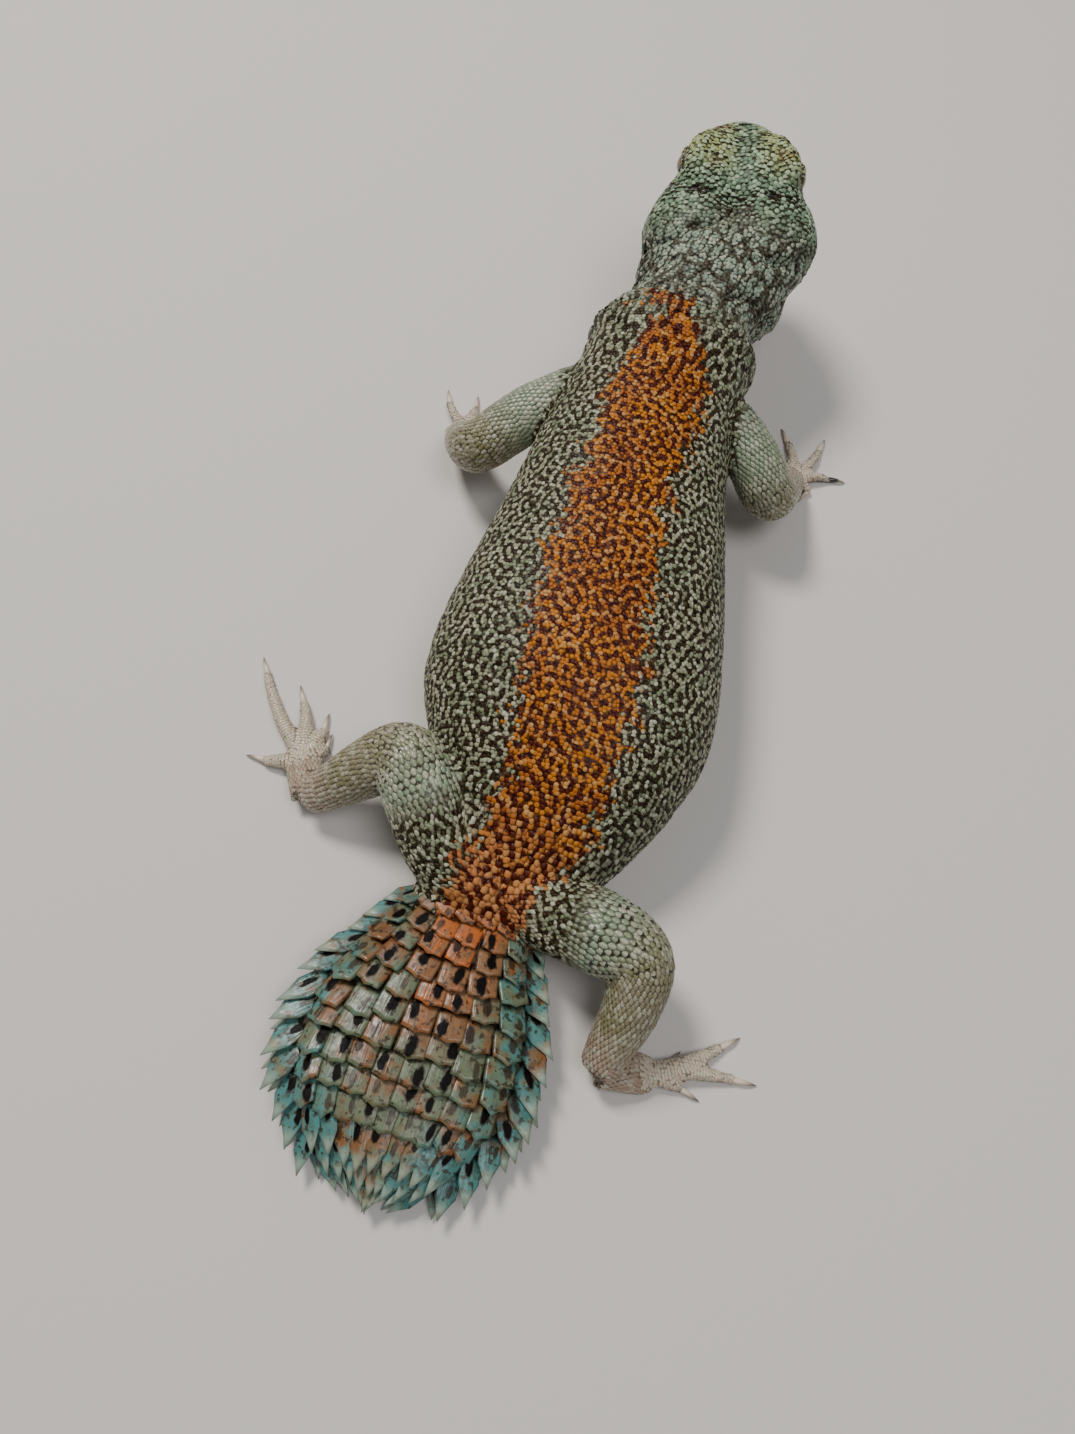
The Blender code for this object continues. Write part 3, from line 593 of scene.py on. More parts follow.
def core_point(rows, place, turn):
    """A point on the tail's core, by place along it and turn round its upper side from right to left."""
    _, shift, half, top, wide, _ = row_at(rows, place)
    return Vector((shift + half * powered(math.cos(turn), ROUNDING), place,
                   wide + (top - wide) * powered(math.sin(turn), ROUNDING)))


def head_shapes():
    """The skull's loft with brows, cheeks, lids and lips."""
    rings = []
    for back, half, rise, drop in smooth_rows(HEAD, 3):
        rings.append([head_point(a, back, b) for a, b in section(half, rise, drop, 28)])
    shapes = [skin_over("skull", rings)]
    turn = head_frame().to_3x3()
    for side in (-1, 1):
        eye = head_side(EYE_BACK, EYE_UP)
        brow = head_point(side * (eye - 2.7), EYE_BACK + 0.8, EYE_UP + 3.0)
        shapes.append(ball("brow", brow, (2.3, 5.0, 2.2), turn))
        ridge = [(*head_point(side * out, back, up), radius) for out, back, up, radius in SNOUT_RIDGE]
        shapes.append(tube("snout_ridge", ridge, 10, 3))
        shapes.append(ball("cheek", head_point(side * 12.4, 23.0, -3.6), (4.9, 6.6, 6.4), turn))
        shapes.append(ball("ear_fold", head_point(side * 14.6, 26.0, -1.4), (2.2, 1.3, 3.4), turn))
        mound = head_point(side * (eye - 1.7), EYE_BACK, EYE_UP)
        shapes.append(ball("eye_mound", mound, (2.6, 4.1, 3.4), turn))
        for lift, sink in ((0.9, 0.55), (-1.1, 0.55)):
            path = [(*head_point(side * (head_side(b, z + lift) - sink), b, z + lift), 0.95)
                    for b, z in MOUTH]
            shapes.append(tube("lip", path, 8, 3))
    return shapes


def head_cutters():
    """Sockets, nostrils, ear cups and the line of the mouth."""
    turn = head_frame().to_3x3()
    cutters = [mouth_cut()]
    for side in (-1, 1):
        cutters.append(ball("socket", eye_centre(side), [EYE_RADIUS + SOCKET_ROOM] * 3, turn, 14))
        nose = head_side(NOSTRIL_BACK, NOSTRIL_UP)
        cutters.append(ball("nostril", head_point(side * nose, NOSTRIL_BACK, NOSTRIL_UP),
                            (1.3, NOSTRIL_RADIUS, NOSTRIL_RADIUS), turn, 10))
        ear = head_side(EAR_BACK, EAR_UP)
        cutters.append(ball("ear", head_point(side * (ear + 0.2), EAR_BACK, EAR_UP), EAR_HALF, turn, 12))
    return cutters


def toe_paths(plan):
    """The path of each toe, from the palm to the root of its claw."""
    palm = Vector(plan["palm"][:3])
    paths = []
    for k, (x, y) in enumerate(plan["toes"]):
        radius = plan["toe_radius"]
        tip = Vector((x, y, radius * 0.35))
        reach = tip - palm
        across = Vector((reach.y, -reach.x, 0)).normalized() * 0.10 * reach.length * (1 if k < 3 else -1)
        paths.append([(*(palm + reach * 0.05), radius * 1.8),
                      (*(palm + reach * 0.38 + across * 0.4 + Vector((0, 0, 0.9))), radius * 1.5),
                      (*(palm + reach * 0.70 + across * 0.3 + Vector((0, 0, 0.5))), radius * 1.16),
                      (*(tip - reach.normalized() * 1.6), radius * 0.84)])
    return paths


def sole_path(plan):
    heel = plan["bone"][-1]
    palm = Vector(plan["palm"][:3])
    thick = plan["palm"][3]
    return [heel, (*palm, thick), (*(palm + (palm - Vector(heel[:3])) * 0.35), thick * 0.8)]


def leg_shapes(plan):
    shapes = [tube("flesh", plan["bone"], 24, 6), tube("sole", sole_path(plan), 16, 5, 0.72)]
    shapes += [tube("toe", path, 12, 5, 0.92) for path in toe_paths(plan)]
    return shapes


def sort_by_place(obj):
    """Puts points and faces in one fixed order. The cuts give them in another one each run, and the
    scales that are scattered over the faces would then stand elsewhere."""
    old = obj.data
    places = np.array([v.co for v in old.vertices])
    order = np.lexsort(places.T)
    rank = np.empty(len(order), int)
    rank[order] = np.arange(len(order))
    faces = []
    for face in old.polygons:
        ring = [int(rank[k]) for k in face.vertices]
        first = ring.index(min(ring))
        faces.append(tuple(ring[first:] + ring[:first]))
    obj.data = bpy.data.meshes.new(old.name)
    obj.data.from_pydata(places[order].tolist(), [], sorted(faces))
    bpy.data.meshes.remove(old)


def make_skin():
    """The whole hide as one closed surface, with lids, sockets, mouth, nostrils and ears."""
    shapes = [station_loft("trunk", TRUNK, 56, 6), station_loft("tail_core", TAIL, 48, 6)] + head_shapes()
    shapes += [tube("fold", path, 12, 5) for path in fold_paths()]
    for plan in LEGS.values():
        shapes += leg_shapes(plan)
    skin = join("skin", shapes)
    fuse = skin.modifiers.new("fuse", "REMESH")
    fuse.mode = "VOXEL"
    fuse.voxel_size = SKIN_VOXEL * MM
    settle(skin)
    largest_body(skin)
    places = np.array([v.co for v in skin.data.vertices]) / MM
    soft = skin.vertex_groups.new(name="soft")
    # The feet are smoothed least, and the neck and the head half as much as the rest
    fine = (places[:, 2] < 6.5) & ((places[:, 0] < -28) | (places[:, 0] > 26) | (places[:, 1] < -71))
    fine &= np.abs(places[:, 0] + 5) > 22
    neck = (places[:, 1] > 46) & ~fine
    for part, weight in ((~fine & ~neck, 1.0), (neck, 0.5), (fine, 0.25)):
        soft.add([int(k) for k in np.flatnonzero(part)], weight, "REPLACE")
    ease = skin.modifiers.new("ease", "SMOOTH")
    ease.factor = 0.5
    ease.iterations = 6
    ease.vertex_group = "soft"
    settle(skin)
    hollow(skin)
    crease(skin)
    combine(skin, [lid_ring(side) for side in (-1, 1)], "UNION", "MANIFOLD")
    combine(skin, head_cutters(), "DIFFERENCE", "MANIFOLD")
    sort_by_place(skin)
    sink_and_flatten(skin)
    return skin


def hollow(skin):
    """Presses the forehead's valley, the nape's hollow and the grooves in, and raises the brows."""
    places, normals = points_and_normals(skin.data)
    for line, half, depth in HOLLOWS + BROWS:
        away = np.full(len(places), 1e9)
        for a, b in zip(line, line[1:]):
            a, b = np.array(a), np.array(b)
            t = np.clip((places / MM - a) @ (b - a) / ((b - a) @ (b - a)), 0, 1)
            away = np.minimum(away, np.linalg.norm(places / MM - a - t[:, None] * (b - a), axis=1))
        places = places - normals * (MM * depth * np.exp(-(away / half) ** 2))[:, None]
    move_points(skin.data, places)


def crease(skin):
    """Presses the fine wrinkles of loose skin into the neck, the shoulders and the flanks."""
    places, normals = points_and_normals(skin.data)
    for k, (place, way) in enumerate(zip(places / MM, normals)):
        loose = smooth_step(40.0, 52.0, place[1]) * (1 - smooth_step(70.0, 76.0, place[1]))
        flank = 0.35 * smooth_step(-46.0, -30.0, place[1]) * (1 - smooth_step(24.0, 44.0, place[1]))
        loose = max(loose, flank)
        if loose <= 0 or place[2] < 2.0 or abs(place[0]) > 27:
            continue
        ridge = abs(mathutils.noise.noise(Vector((place[0] * 0.10, place[1] * 0.24, place[2] * 0.12))))
        places[k] += way * MM * loose * (0.55 * min(1.0, ridge * 5.0) - 0.5)
    move_points(skin.data, places)


def points_of(mesh):
    places = np.empty(len(mesh.vertices) * 3)
    mesh.vertices.foreach_get("co", places)
    return places.reshape(-1, 3)


def points_and_normals(mesh):
    normals = np.empty(len(mesh.vertices) * 3)
    mesh.vertex_normals.foreach_get("vector", normals)
    return points_of(mesh), normals.reshape(-1, 3)


def move_points(mesh, places):
    mesh.vertices.foreach_set("co", places.ravel())
    mesh.update()


def vectors_of(mesh, key):
    """The rows of a vector attribute."""
    rows = np.empty(len(mesh.vertices) * 3, np.float32)
    mesh.attributes[key].data.foreach_get("vector", rows)
    return rows.reshape(-1, 3)


def set_vectors(mesh, key, rows):
    """A new vector attribute from its rows."""
    held = mesh.attributes.new(key, "FLOAT_VECTOR", "POINT")
    held.data.foreach_set("vector", np.array(rows, np.float32).ravel())


def sink_and_flatten(skin):
    """Draws the skin in by its scales' height and flattens what lies on the floor."""
    places, normals = points_and_normals(skin.data)
    places = places - normals * SKIN_SINK * MM
    places[:, 2] = np.maximum(places[:, 2], SKIN_LOWEST * MM)
    move_points(skin.data, places)


class Coat:
    """Scales that wait for their place: root, normal, lie, size and what colours them."""

    def __init__(self, skin):
        mesh = skin.data
        places = [v.co / MM for v in mesh.vertices]
        self.tree = BVHTree.FromPolygons(places, [tuple(p.vertices) for p in mesh.polygons])
        self.cells = {}
        self.rows = []

    def near(self, place, reach):
        """Whether a scale already stands nearer than reach."""
        low = [int(math.floor((c - reach) / CELL)) for c in place]
        high = [int(math.floor((c + reach) / CELL)) for c in place]
        for i in range(low[0], high[0] + 1):
            for j in range(low[1], high[1] + 1):
                for k in range(low[2], high[2] + 1):
                    for other in self.cells.get((i, j, k), ()):
                        if (other - place).length_squared < reach * reach:
                            return True
        return False

    def hangs(self, root, lie, pitch):
        """Whether the skin bends away under a keeled scale's point, so that the point would stand off."""
        return self.tree.find_nearest(root + lie * pitch * POINT_REACH)[3] > POINT_HANG

    def add(self, place, lie, pitch, kind, room=0.66, reach=1.3, height=1.0, dot=0.0, zone=0):
        """Sets a scale on the skin nearest to a place, unless one stands there or the skin is far."""
        found, normal, _, away = self.tree.find_nearest(place)
        if found is None or away > reach:
            return False
        if self.near(found, pitch * room):
            return False
        lie = lie - normal * lie.dot(normal)
        if lie.length < 1e-4:
            return False
        lie.normalize()
        cell = tuple(int(math.floor(c / CELL)) for c in found)
        self.cells.setdefault(cell, []).append(found)
        self.rows.append((found, normal, lie, pitch, kind, height, dot, zone))
        return True


def ring_points(row, pitch, stagger):
    """Points at even steps round one section of the trunk, with the way that the belly lies."""
    place, shift, half, top, wide, low = row
    ring = np.array(section(half, top - wide, wide - low, 96))
    loop = np.vstack([ring, ring[:1]])
    steps = np.hypot(*np.diff(loop, axis=0).T)
    along = np.concatenate([[0.0], np.cumsum(steps)])
    count = max(6, round(along[-1] / pitch))
    spots = (np.arange(count) + 0.5 * stagger) / count * along[-1]
    xs = np.interp(spots, along, loop[:, 0])
    zs = np.interp(spots, along, loop[:, 1])
    return [Vector((shift + x, place, wide + z)) for x, z in zip(xs, zs)]


def rump_growth(place):
    """How far the scales have grown from the back's to the rump's, by place along the body."""
    return smooth_step(-30.0, -58.0, place) if place < -30 else 0.0


def clothe_trunk(coat, draw):
    """Rows of small scales round the torso and the neck, flatter below, and squarer on the rump."""
    rows = smooth_rows(TRUNK, 8)
    place, last = TRUNK_ROWS
    row_number = 0
    while place > last:
        row = row_at(rows, place)
        grown = rump_growth(place)
        pitch = BACK_PITCH + (RUMP_PITCH - BACK_PITCH) * grown
        for point in ring_points(row, pitch, row_number % 2):
            lower = point.z < row[4] - 0.55 * (row[4] - row[5])
            jitter = Vector((draw.gauss(0, 0.12), draw.gauss(0, 0.12), 0))
            kind = BELLY if lower else RUMP if grown > 0.35 else GRANULE
            coat.add(point + jitter, Vector((0, -1, 0)), pitch, kind, room=0.70,
                     height=draw.uniform(0.85, 1.15), zone=ON_TRUNK)
        place -= pitch * ROW_STEP
        row_number += 1


def tube_frames(path, steps):
    """How far along a path of (x, y, z, radius) each row lies, with all that walk() says of it."""
    frames = []
    run = 0.0
    for row in walk(smooth_rows(path, steps)):
        if frames:
            run += (row[0] - frames[-1][1]).length
        frames.append((run, *row))
    return frames


def frame_at(frames, run):
    for a, b in zip(frames, frames[1:]):
        if b[0] >= run:
            t = (run - a[0]) / max(1e-9, b[0] - a[0])
            return (a[1].lerp(b[1], t), a[2] + (b[2] - a[2]) * t, a[3].lerp(b[3], t).normalized(),
                    a[4].lerp(b[4], t).normalized(), a[5].lerp(b[5], t).normalized())
    last = frames[-1]
    return last[1], last[2], last[3], last[4], last[5]


def clothe_tube(coat, path, pitch_at, kind, zone, draw, height=1.0, dots=False, step=ROW_STEP):
    """Staggered rows of overlapping scales round a limb, towards its tip."""
    frames = tube_frames(path, 8)
    full = frames[-1][0]
    run = 0.0
    number = 0
    while run < full * LIMB_CLOTHED:
        t = run / full
        pitch = pitch_at(t)
        centre, radius, ahead, side, up = frame_at(frames, run)
        count = max(6, round(2 * math.pi * radius / pitch))
        for k in range(count):
            turn = 2 * math.pi * (k + 0.5 * (number % 2) + draw.uniform(-0.06, 0.06)) / count
            point = centre + side * radius * math.cos(turn) + up * radius * math.sin(turn)
            spotted = dots and DOTS_FROM < t < DOTS_TO and (k + number // 2) % 2 == 0
            dot = 1.0 if spotted and draw.random() < DOT_CHANCE else 0.0
            coat.add(point, ahead, pitch, kind, room=0.62 * step / ROW_STEP, reach=1.5,
                     height=height * draw.uniform(0.85, 1.15), dot=dot, zone=zone + ZONE_RUN * t)
        run += pitch * step
        number += 1


def hind_pitch(t):
    """Pitch along a hind leg: finer at the hip, broad on the thigh, finer again down the shin."""
    return THIGH_PITCH * (0.76 + 0.24 * smooth_step(0.32, 0.44, t) - 0.20 * smooth_step(0.42, 0.62, t))


def arm_pitch(t):
    """Pitch along a foreleg, finer towards the wrist."""
    return ARM_PITCH * (1.0 - 0.25 * t)


def clothe_legs(coat, draw):
    """Overlapping scales on the legs, finer ones on the feet and narrow bands on the toes."""
    for name, plan in LEGS.items():
        hind = name.startswith("hind")
        for path in toe_paths(plan):
            clothe_tube(coat, path, lambda t: TOE_PITCH, BAND, ON_TOE, draw, 0.9, step=0.62)
        clothe_tube(coat, sole_path(plan), lambda t: FOOT_PITCH, KEELED, ON_FOOT, draw, 1.1)
        if hind:
            clothe_tube(coat, plan["bone"], hind_pitch, KEELED, ON_HINDLEG, draw, 1.0, dots=True)
        else:
            clothe_tube(coat, plan["bone"], arm_pitch, KEELED, ON_FORELEG, draw, 0.75)


def clothe_head(coat, skin, draw):
    """Uneven plates on the head: broad on its top, small round the eyes and on the throat."""
    turn = head_frame().inverted()
    for side in (-1, 1):
        for lift in (0.75, -0.95):
            for b in np.arange(0.6, MOUTH[-1][0] + 1.0, 1.0):
                z = np.interp(b, [m[0] for m in MOUTH], [m[1] for m in MOUTH])
                point = head_point(side * head_side(b, z + lift), b, z + lift)
                back_way = head_point(side, 1, 0) - head_point(side, 0, 0)
                coat.add(point, back_way, 1.0, PLATE, room=0.6, zone=ON_LIP)
    eyes = [turn @ eye_centre(side) for side in (-1, 1)]
    for point, normal in surface_samples(skin, HEAD_TRIES, HEAD_SEED):
        own = turn @ point
        back = -own.y
        if back > 36 or own.z > 14 and back > 34:
            continue
        from_eye = min((own - e).length for e in eyes)
        if from_eye < EYE_RADIUS + 0.25:
            continue
        up = max(0.0, (turn.to_3x3() @ normal).z)
        pitch = HEAD_PITCH_SIDE + (HEAD_PITCH_TOP - HEAD_PITCH_SIDE) * min(1.0, up * 1.4)
        pitch += (BACK_PITCH - pitch) * min(1.0, max(0.0, (back - 24) / 8))
        if from_eye < EYE_RADIUS + 2.4:
            pitch = LID_PITCH + (pitch - LID_PITCH) * (from_eye - EYE_RADIUS) / 2.4 * 0.8
        lie = head_point(0, 1, 0) - head_point(0, 0, 0)
        coat.add(point, lie, pitch, PLATE, room=0.80, zone=ON_HEAD, height=draw.uniform(0.8, 1.1))


def surface_samples(skin, count, seed):
    """Random points spread evenly over the skin, with its normals."""
    mesh = skin.data
    mesh.calc_loop_triangles()
    corners = np.empty(len(mesh.loop_triangles) * 3, int)
    mesh.loop_triangles.foreach_get("vertices", corners)
    corners = points_of(mesh)[corners.reshape(-1, 3)] / MM
    cross = np.cross(corners[:, 1] - corners[:, 0], corners[:, 2] - corners[:, 0])
    area = np.linalg.norm(cross, axis=1)
    numbers = np.random.default_rng(seed)
    picked = numbers.choice(len(area), count, p=area / area.sum())
    a, b = numbers.random((2, count))
    fold = a + b > 1
    a[fold], b[fold] = 1 - a[fold], 1 - b[fold]
    spots = corners[picked, 0] + a[:, None] * (corners[picked, 1] - corners[picked, 0]) \
        + b[:, None] * (corners[picked, 2] - corners[picked, 0])
    ways = cross[picked] / np.maximum(area[picked, None], 1e-12)
    return [(Vector(p), Vector(n)) for p, n in zip(spots, ways)]


def roots_tree(coat):
    """Finds the scale nearest to a place."""
    nearest = KDTree(len(coat.rows))
    for k, row in enumerate(coat.rows):
        nearest.insert(row[0], k)
    nearest.balance()
    return nearest


def clothe_gaps(coat, skin):
    """Small scales wherever the rows leave the skin bare."""
    nearest = roots_tree(coat)
    eyes = [eye_centre(side) for side in (-1, 1)]
    known = list(coat.rows)
    for point, _ in surface_samples(skin, GAP_TRIES, GAP_SEED):
        if point.y < -60 and -26 < point.x < 17 and point.z > 4:
            continue
        if min((point - e).length for e in eyes) < EYE_RADIUS + 0.3:
            continue
        _, k, away = nearest.find(point)
        row = known[k]
        if away < row[3] * 0.66:
            continue
        coat.add(point, row[2], row[3] * 0.92, row[4], room=0.68, height=row[5] * 0.9, zone=row[7])


def whorls():
    """Place and spacing of each ring of tail scales, and how many it has, from the root to the tip."""
    rows = smooth_rows(TAIL, 4)
    place = WHORL_START
    rings = []
    for i in range(WHORLS):
        spacing = WHORL_STEP + WHORL_SWELL * math.sin(math.pi * (i + 0.8) / (WHORLS + 0.8))
        half = row_at(rows, place)[2]
        swell = math.sin(math.pi * (i + 1) / WHORLS)
        rings.append((place, spacing, max(5, round(2.15 * half / (2.0 + 2.2 * swell)))))
        place -= spacing
    return rings


def even_turns(rows, place, count):
    """Turns round the tail's upper side that part it into equal widths."""
    turns = np.linspace(-0.12, math.pi + 0.12, 90)
    points = np.array([tuple(core_point(rows, place, t)) for t in turns])
    run = np.concatenate([[0.0], np.cumsum(np.linalg.norm(np.diff(points, axis=0), axis=1))])
    return np.interp((np.arange(count) + 0.5) / count * run[-1], run, turns), run[-1] / count


def tail_table(draw):
    """Root, normal, lie and size of each large tail scale, how near the edge it is, its chance and ring.

    The last scale at each side lies flat and stands out over the edge, with a second one under it.
    """
    rows = smooth_rows(TAIL, 6)
    table = []
    up = Vector((0, 0, 1))
    for number, (place, spacing, count) in enumerate(whorls()):
        _, shift, _, _, wide, _ = row_at(rows, place)
        turns, width = even_turns(rows, place, count)
        last = len(turns) - 1
        for k, turn in enumerate(turns):
            turn += draw.uniform(-0.014, 0.014)
            edge = abs(math.cos(turn)) ** 1.5
            at = place + draw.uniform(-0.12, 0.12) * spacing
            mid = core_point(rows, at, turn)
            behind = core_point(rows, max(at - 2.5, TAIL_END), turn)
            along = (behind - mid).normalized()
            side = core_point(rows, at, turn + 0.06) - core_point(rows, at, turn - 0.06)
            side -= along * side.dot(along)
            side.normalize()
            out = side.cross(along)
            if out.dot(mid - Vector((shift, at, wide - 1.0))) < 0:
                out = -out
            high = 1.3 * (0.75 + 0.25 * math.sin(math.pi * number / (WHORLS - 1)))
            if k not in (0, last):
                along = along + out * (0.03 + 0.22 * edge * edge) + side * draw.uniform(-0.05, 0.05)
                along = along.normalized()
                out = (out - along * out.dot(along)).normalized()
                size = (width * draw.uniform(0.515, 0.545), spacing * draw.uniform(1.12, 1.26),
                        high * draw.uniform(0.9, 1.15))
                table.append((mid - out * 0.12, out, along, size, edge, draw.random(), number))
                continue
            way = Vector((1.0 if mid.x > shift else -1.0, 0, 0))
            for deck in (0, 1):
                spread = 0.74 - 0.02 * number + draw.uniform(-0.15, 0.15)
                lie = (along + way * spread - up * 0.10 * deck).normalized()
                face = (up + way * (0.35 + 0.25 * deck)).normalized()
                face = (face - lie * face.dot(lie)).normalized()
                root = mid - way * (0.75 + 0.35 * deck) - up * (0.1 + 1.5 * deck) \
                    + along * spacing * 0.5 * deck
                root.z = max(root.z, 1.1)
                size = (spacing * draw.uniform(0.47, 0.56),
                        spacing * draw.uniform(1.05, 1.3) * (1 - 0.1 * deck),
                        high * 0.8)
                table.append((root, face, lie, size, 1.0, draw.random(), number))
    return table


def euler_of(across, lie, normal):
    """The turns about X, Y and Z that bring a shape's own axes to the three given ones."""
    turn = Matrix((across, lie, normal)).transposed()
    return turn.to_euler("XYZ")


def granule_shape(name, sides, rings, squash=1.0):
    """A low rounded boss. rings are (radius, height) pairs from its foot to its crown."""
    points = []
    for radius, height in rings:
        for k in range(sides):
            a = 2 * math.pi * (k + 0.5) / sides
            points.append((radius * math.cos(a), radius * squash * math.sin(a), height))
    top = len(points)
    points.append((0, 0, rings[-1][1] + 0.12))
    faces = []
    for i in range(len(rings) - 1):
        faces += band(i * sides, (i + 1) * sides, sides)
    base = (len(rings) - 1) * sides
    faces += [(base + k, base + (k + 1) % sides, top) for k in range(sides)]
    return template(name, points, faces)


def keeled_shape(name):
    """A leg scale: a rounded lozenge with a keel, its point raised over the next scale."""
    outline = [(0.0, -0.95), (0.62, -0.62), (0.86, 0.05), (0.52, 0.78), (0.0, 1.28),
               (-0.52, 0.78), (-0.86, 0.05), (-0.62, -0.62)]
    points = []
    for x, y in outline:
        points.append((x, y, -0.35))
    for x, y in outline:
        rise = 0.35 + 0.42 * (y + 0.95) / 2.2
        points.append((x * 0.96, y * 0.97, rise - 0.45 * abs(x)))
    points += [(0.0, -0.35, 0.66), (0.0, 0.45, 0.92)]
    faces = band(0, 8, 8)
    a, b = 16, 17
    faces += [(8, 9, a), (9, 10, a), (10, b, a), (10, 11, b), (11, 12, b),
              (12, 13, b), (13, 14, b), (14, a, b), (14, 15, a), (15, 8, a)]
    return template(name, points, faces)


def tail_shape(name, point_length, keel, taper, sharp):
    """A tail scale: a square shingle with a raised hind rim that runs out into a point."""
    across = [-1.0, -0.84, -0.45, 0.0, 0.45, 0.84, 1.0]
    downs = [-0.12, 0.3, 0.62, 0.86, 1.0]
    points = []
    for layer in (0, 1):
        for v in downs:
            for u in across:
                hind = max(0.0, v) ** 3
                reach = v + point_length * max(0.0, 1 - abs(u)) ** sharp * hind
                width = u * (1.0 - taper * max(0.0, v) ** 2) * (0.95 if v < 0 else 1.0)
                rise = 0.10 + 0.85 * max(0.0, v) ** 0.85 - 0.16 * abs(u) ** 6 - 0.04 * u * u
                rise += keel * math.exp(-(u / 0.24) ** 2) * (0.25 + 0.75 * max(0.0, v))
                if layer:
                    rise = -0.55 + max(0.0, rise - 0.22 + 0.55) * max(0.0, v) ** 1.6
                points.append((width, reach, rise))
    wide = len(across)
    deep = len(downs)
    faces = []
    for i in range(deep - 1):
        for k in range(wide - 1):
            a = i * wide + k
            faces.append((a, a + 1, a + wide + 1, a + wide))
            b = deep * wide + a
            faces.append((b, b + wide, b + wide + 1, b + 1))
    rim = [k for k in range(wide)] + [(i + 1) * wide - 1 for i in range(1, deep)]
    rim += [(deep - 1) * wide + k for k in range(wide - 2, -1, -1)]
    rim += [i * wide for i in range(deep - 2, 0, -1)]
    for a, b in zip(rim, rim[1:] + rim[:1]):
        faces.append((a, a + deep * wide, b + deep * wide, b))
    return template(name, points, faces)


def square_shape(name):
    """A rump scale: a small keeled square."""
    foot = ((-0.95, -0.9), (0.95, -0.9), (0.95, 0.95), (0.0, 1.25), (-0.95, 0.95))
    points = [(x, y, -0.4) for x, y in foot]
    points += [(-0.86, -0.8, 0.35), (0.86, -0.8, 0.35), (0.88, 0.85, 0.8), (0.0, 1.2, 1.0),
               (-0.88, 0.85, 0.8)]
    points += [(0.0, -0.5, 0.75), (0.0, 0.6, 1.15)]
    faces = band(0, 5, 5)
    faces += [(5, 6, 10), (6, 7, 11, 10), (7, 8, 11), (8, 9, 11), (9, 5, 10, 11)]
    return template(name, points, faces)


def template(name, points, faces):
    """A shape of one scale, one unit wide each way, that remembers each point's place in the scale."""
    mesh = bpy.data.meshes.new(name)
    mesh.from_pydata([tuple(p) for p in points], [], faces)
    set_vectors(mesh, "local", points)
    made = link_object(name, mesh)
    outward(made)
    mesh.shade_smooth()
    return made


def coat_tree():
    """A Geometry Nodes tree that sets a scale's shape on each point, by the point's turn and size."""
    tree = bpy.data.node_groups.new("scale_coat", "GeometryNodeTree")
    face = tree.interface
    face.new_socket("Geometry", in_out="INPUT", socket_type="NodeSocketGeometry")
    face.new_socket("Scale Shape", in_out="INPUT", socket_type="NodeSocketObject")
    spread = face.new_socket("Spread", in_out="INPUT", socket_type="NodeSocketFloat")
    spread.default_value = 1.0
    face.new_socket("Finish", in_out="INPUT", socket_type="NodeSocketMaterial")
    face.new_socket("Geometry", in_out="OUTPUT", socket_type="NodeSocketGeometry")

    add = functools.partial(node, tree)
    start = add("NodeGroupInput").outputs
    shape = add("GeometryNodeObjectInfo", [("Object", start["Scale Shape"])])
    turn = add("GeometryNodeInputNamedAttribute", [("Name", "turn")], data_type="FLOAT_VECTOR")
    size = add("GeometryNodeInputNamedAttribute", [("Name", "size")], data_type="FLOAT_VECTOR")
    spin = add("FunctionNodeEulerToRotation", [("Euler", turn.outputs["Attribute"])])
    grown = add("ShaderNodeVectorMath", [(0, size.outputs["Attribute"]), ("Scale", start["Spread"])],
                operation="SCALE")
    set_out = add("GeometryNodeInstanceOnPoints",
                  [("Points", start["Geometry"]), ("Instance", shape.outputs["Geometry"]),
                   ("Rotation", spin.outputs["Rotation"]), ("Scale", grown.outputs["Vector"])])
    real = add("GeometryNodeRealizeInstances", [("Geometry", set_out.outputs["Instances"])])
    finish = add("GeometryNodeSetMaterial",
                 [("Geometry", real.outputs["Geometry"]), ("Material", start["Finish"])])
    add("NodeGroupOutput", [("Geometry", finish.outputs["Geometry"])])
    return tree


def grow_scales(name, tree, shape, entries, finish, share=0.38):
    """One piece of coat from a list of (root, normal, lie, size, masks, spot on the unwrap)."""
    mesh = bpy.data.meshes.new(name + "_roots")
    mesh.from_pydata([tuple(e[0] * MM) for e in entries], [], [])
    values = {"turn": [], "size": [], "root": [], "tones": [], "places": [], "chances": [], "spot": []}
    for root, normal, lie, size, masks, spot in entries:
        across = lie.cross(normal)
        values["turn"].append(tuple(euler_of(across, lie, normal)))
        values["size"].append([c * MM for c in size])
        values["root"].append(tuple(root))
        values["tones"].append(masks[0:3])
        values["places"].append(masks[3:6])
        values["chances"].append(masks[6:9])
        values["spot"].append((spot[0], spot[1], 0.0))
    for key, rows in values.items():
        set_vectors(mesh, key, rows)
    piece = link_object(name, mesh)
    live = piece.modifiers.new("scales", "NODES")
    live.node_group = tree
    sockets = {s.name: s.identifier for s in tree.interface.items_tree if s.in_out == "INPUT"}
    live[sockets["Scale Shape"]] = shape
    live[sockets["Finish"]] = finish
    settle(piece)
    rest_on_floor(piece.data)
    spread_pattern(piece.data, share)
    unwrap_scales(piece)
    piece.data.name = name
    return piece


def rest_on_floor(mesh):
    """Flattens what would reach under the floor."""
    places = points_of(mesh)
    places[:, 2] = np.maximum(places[:, 2], SCALE_LOWEST * MM)
    mesh.vertices.foreach_set("co", places.ravel())


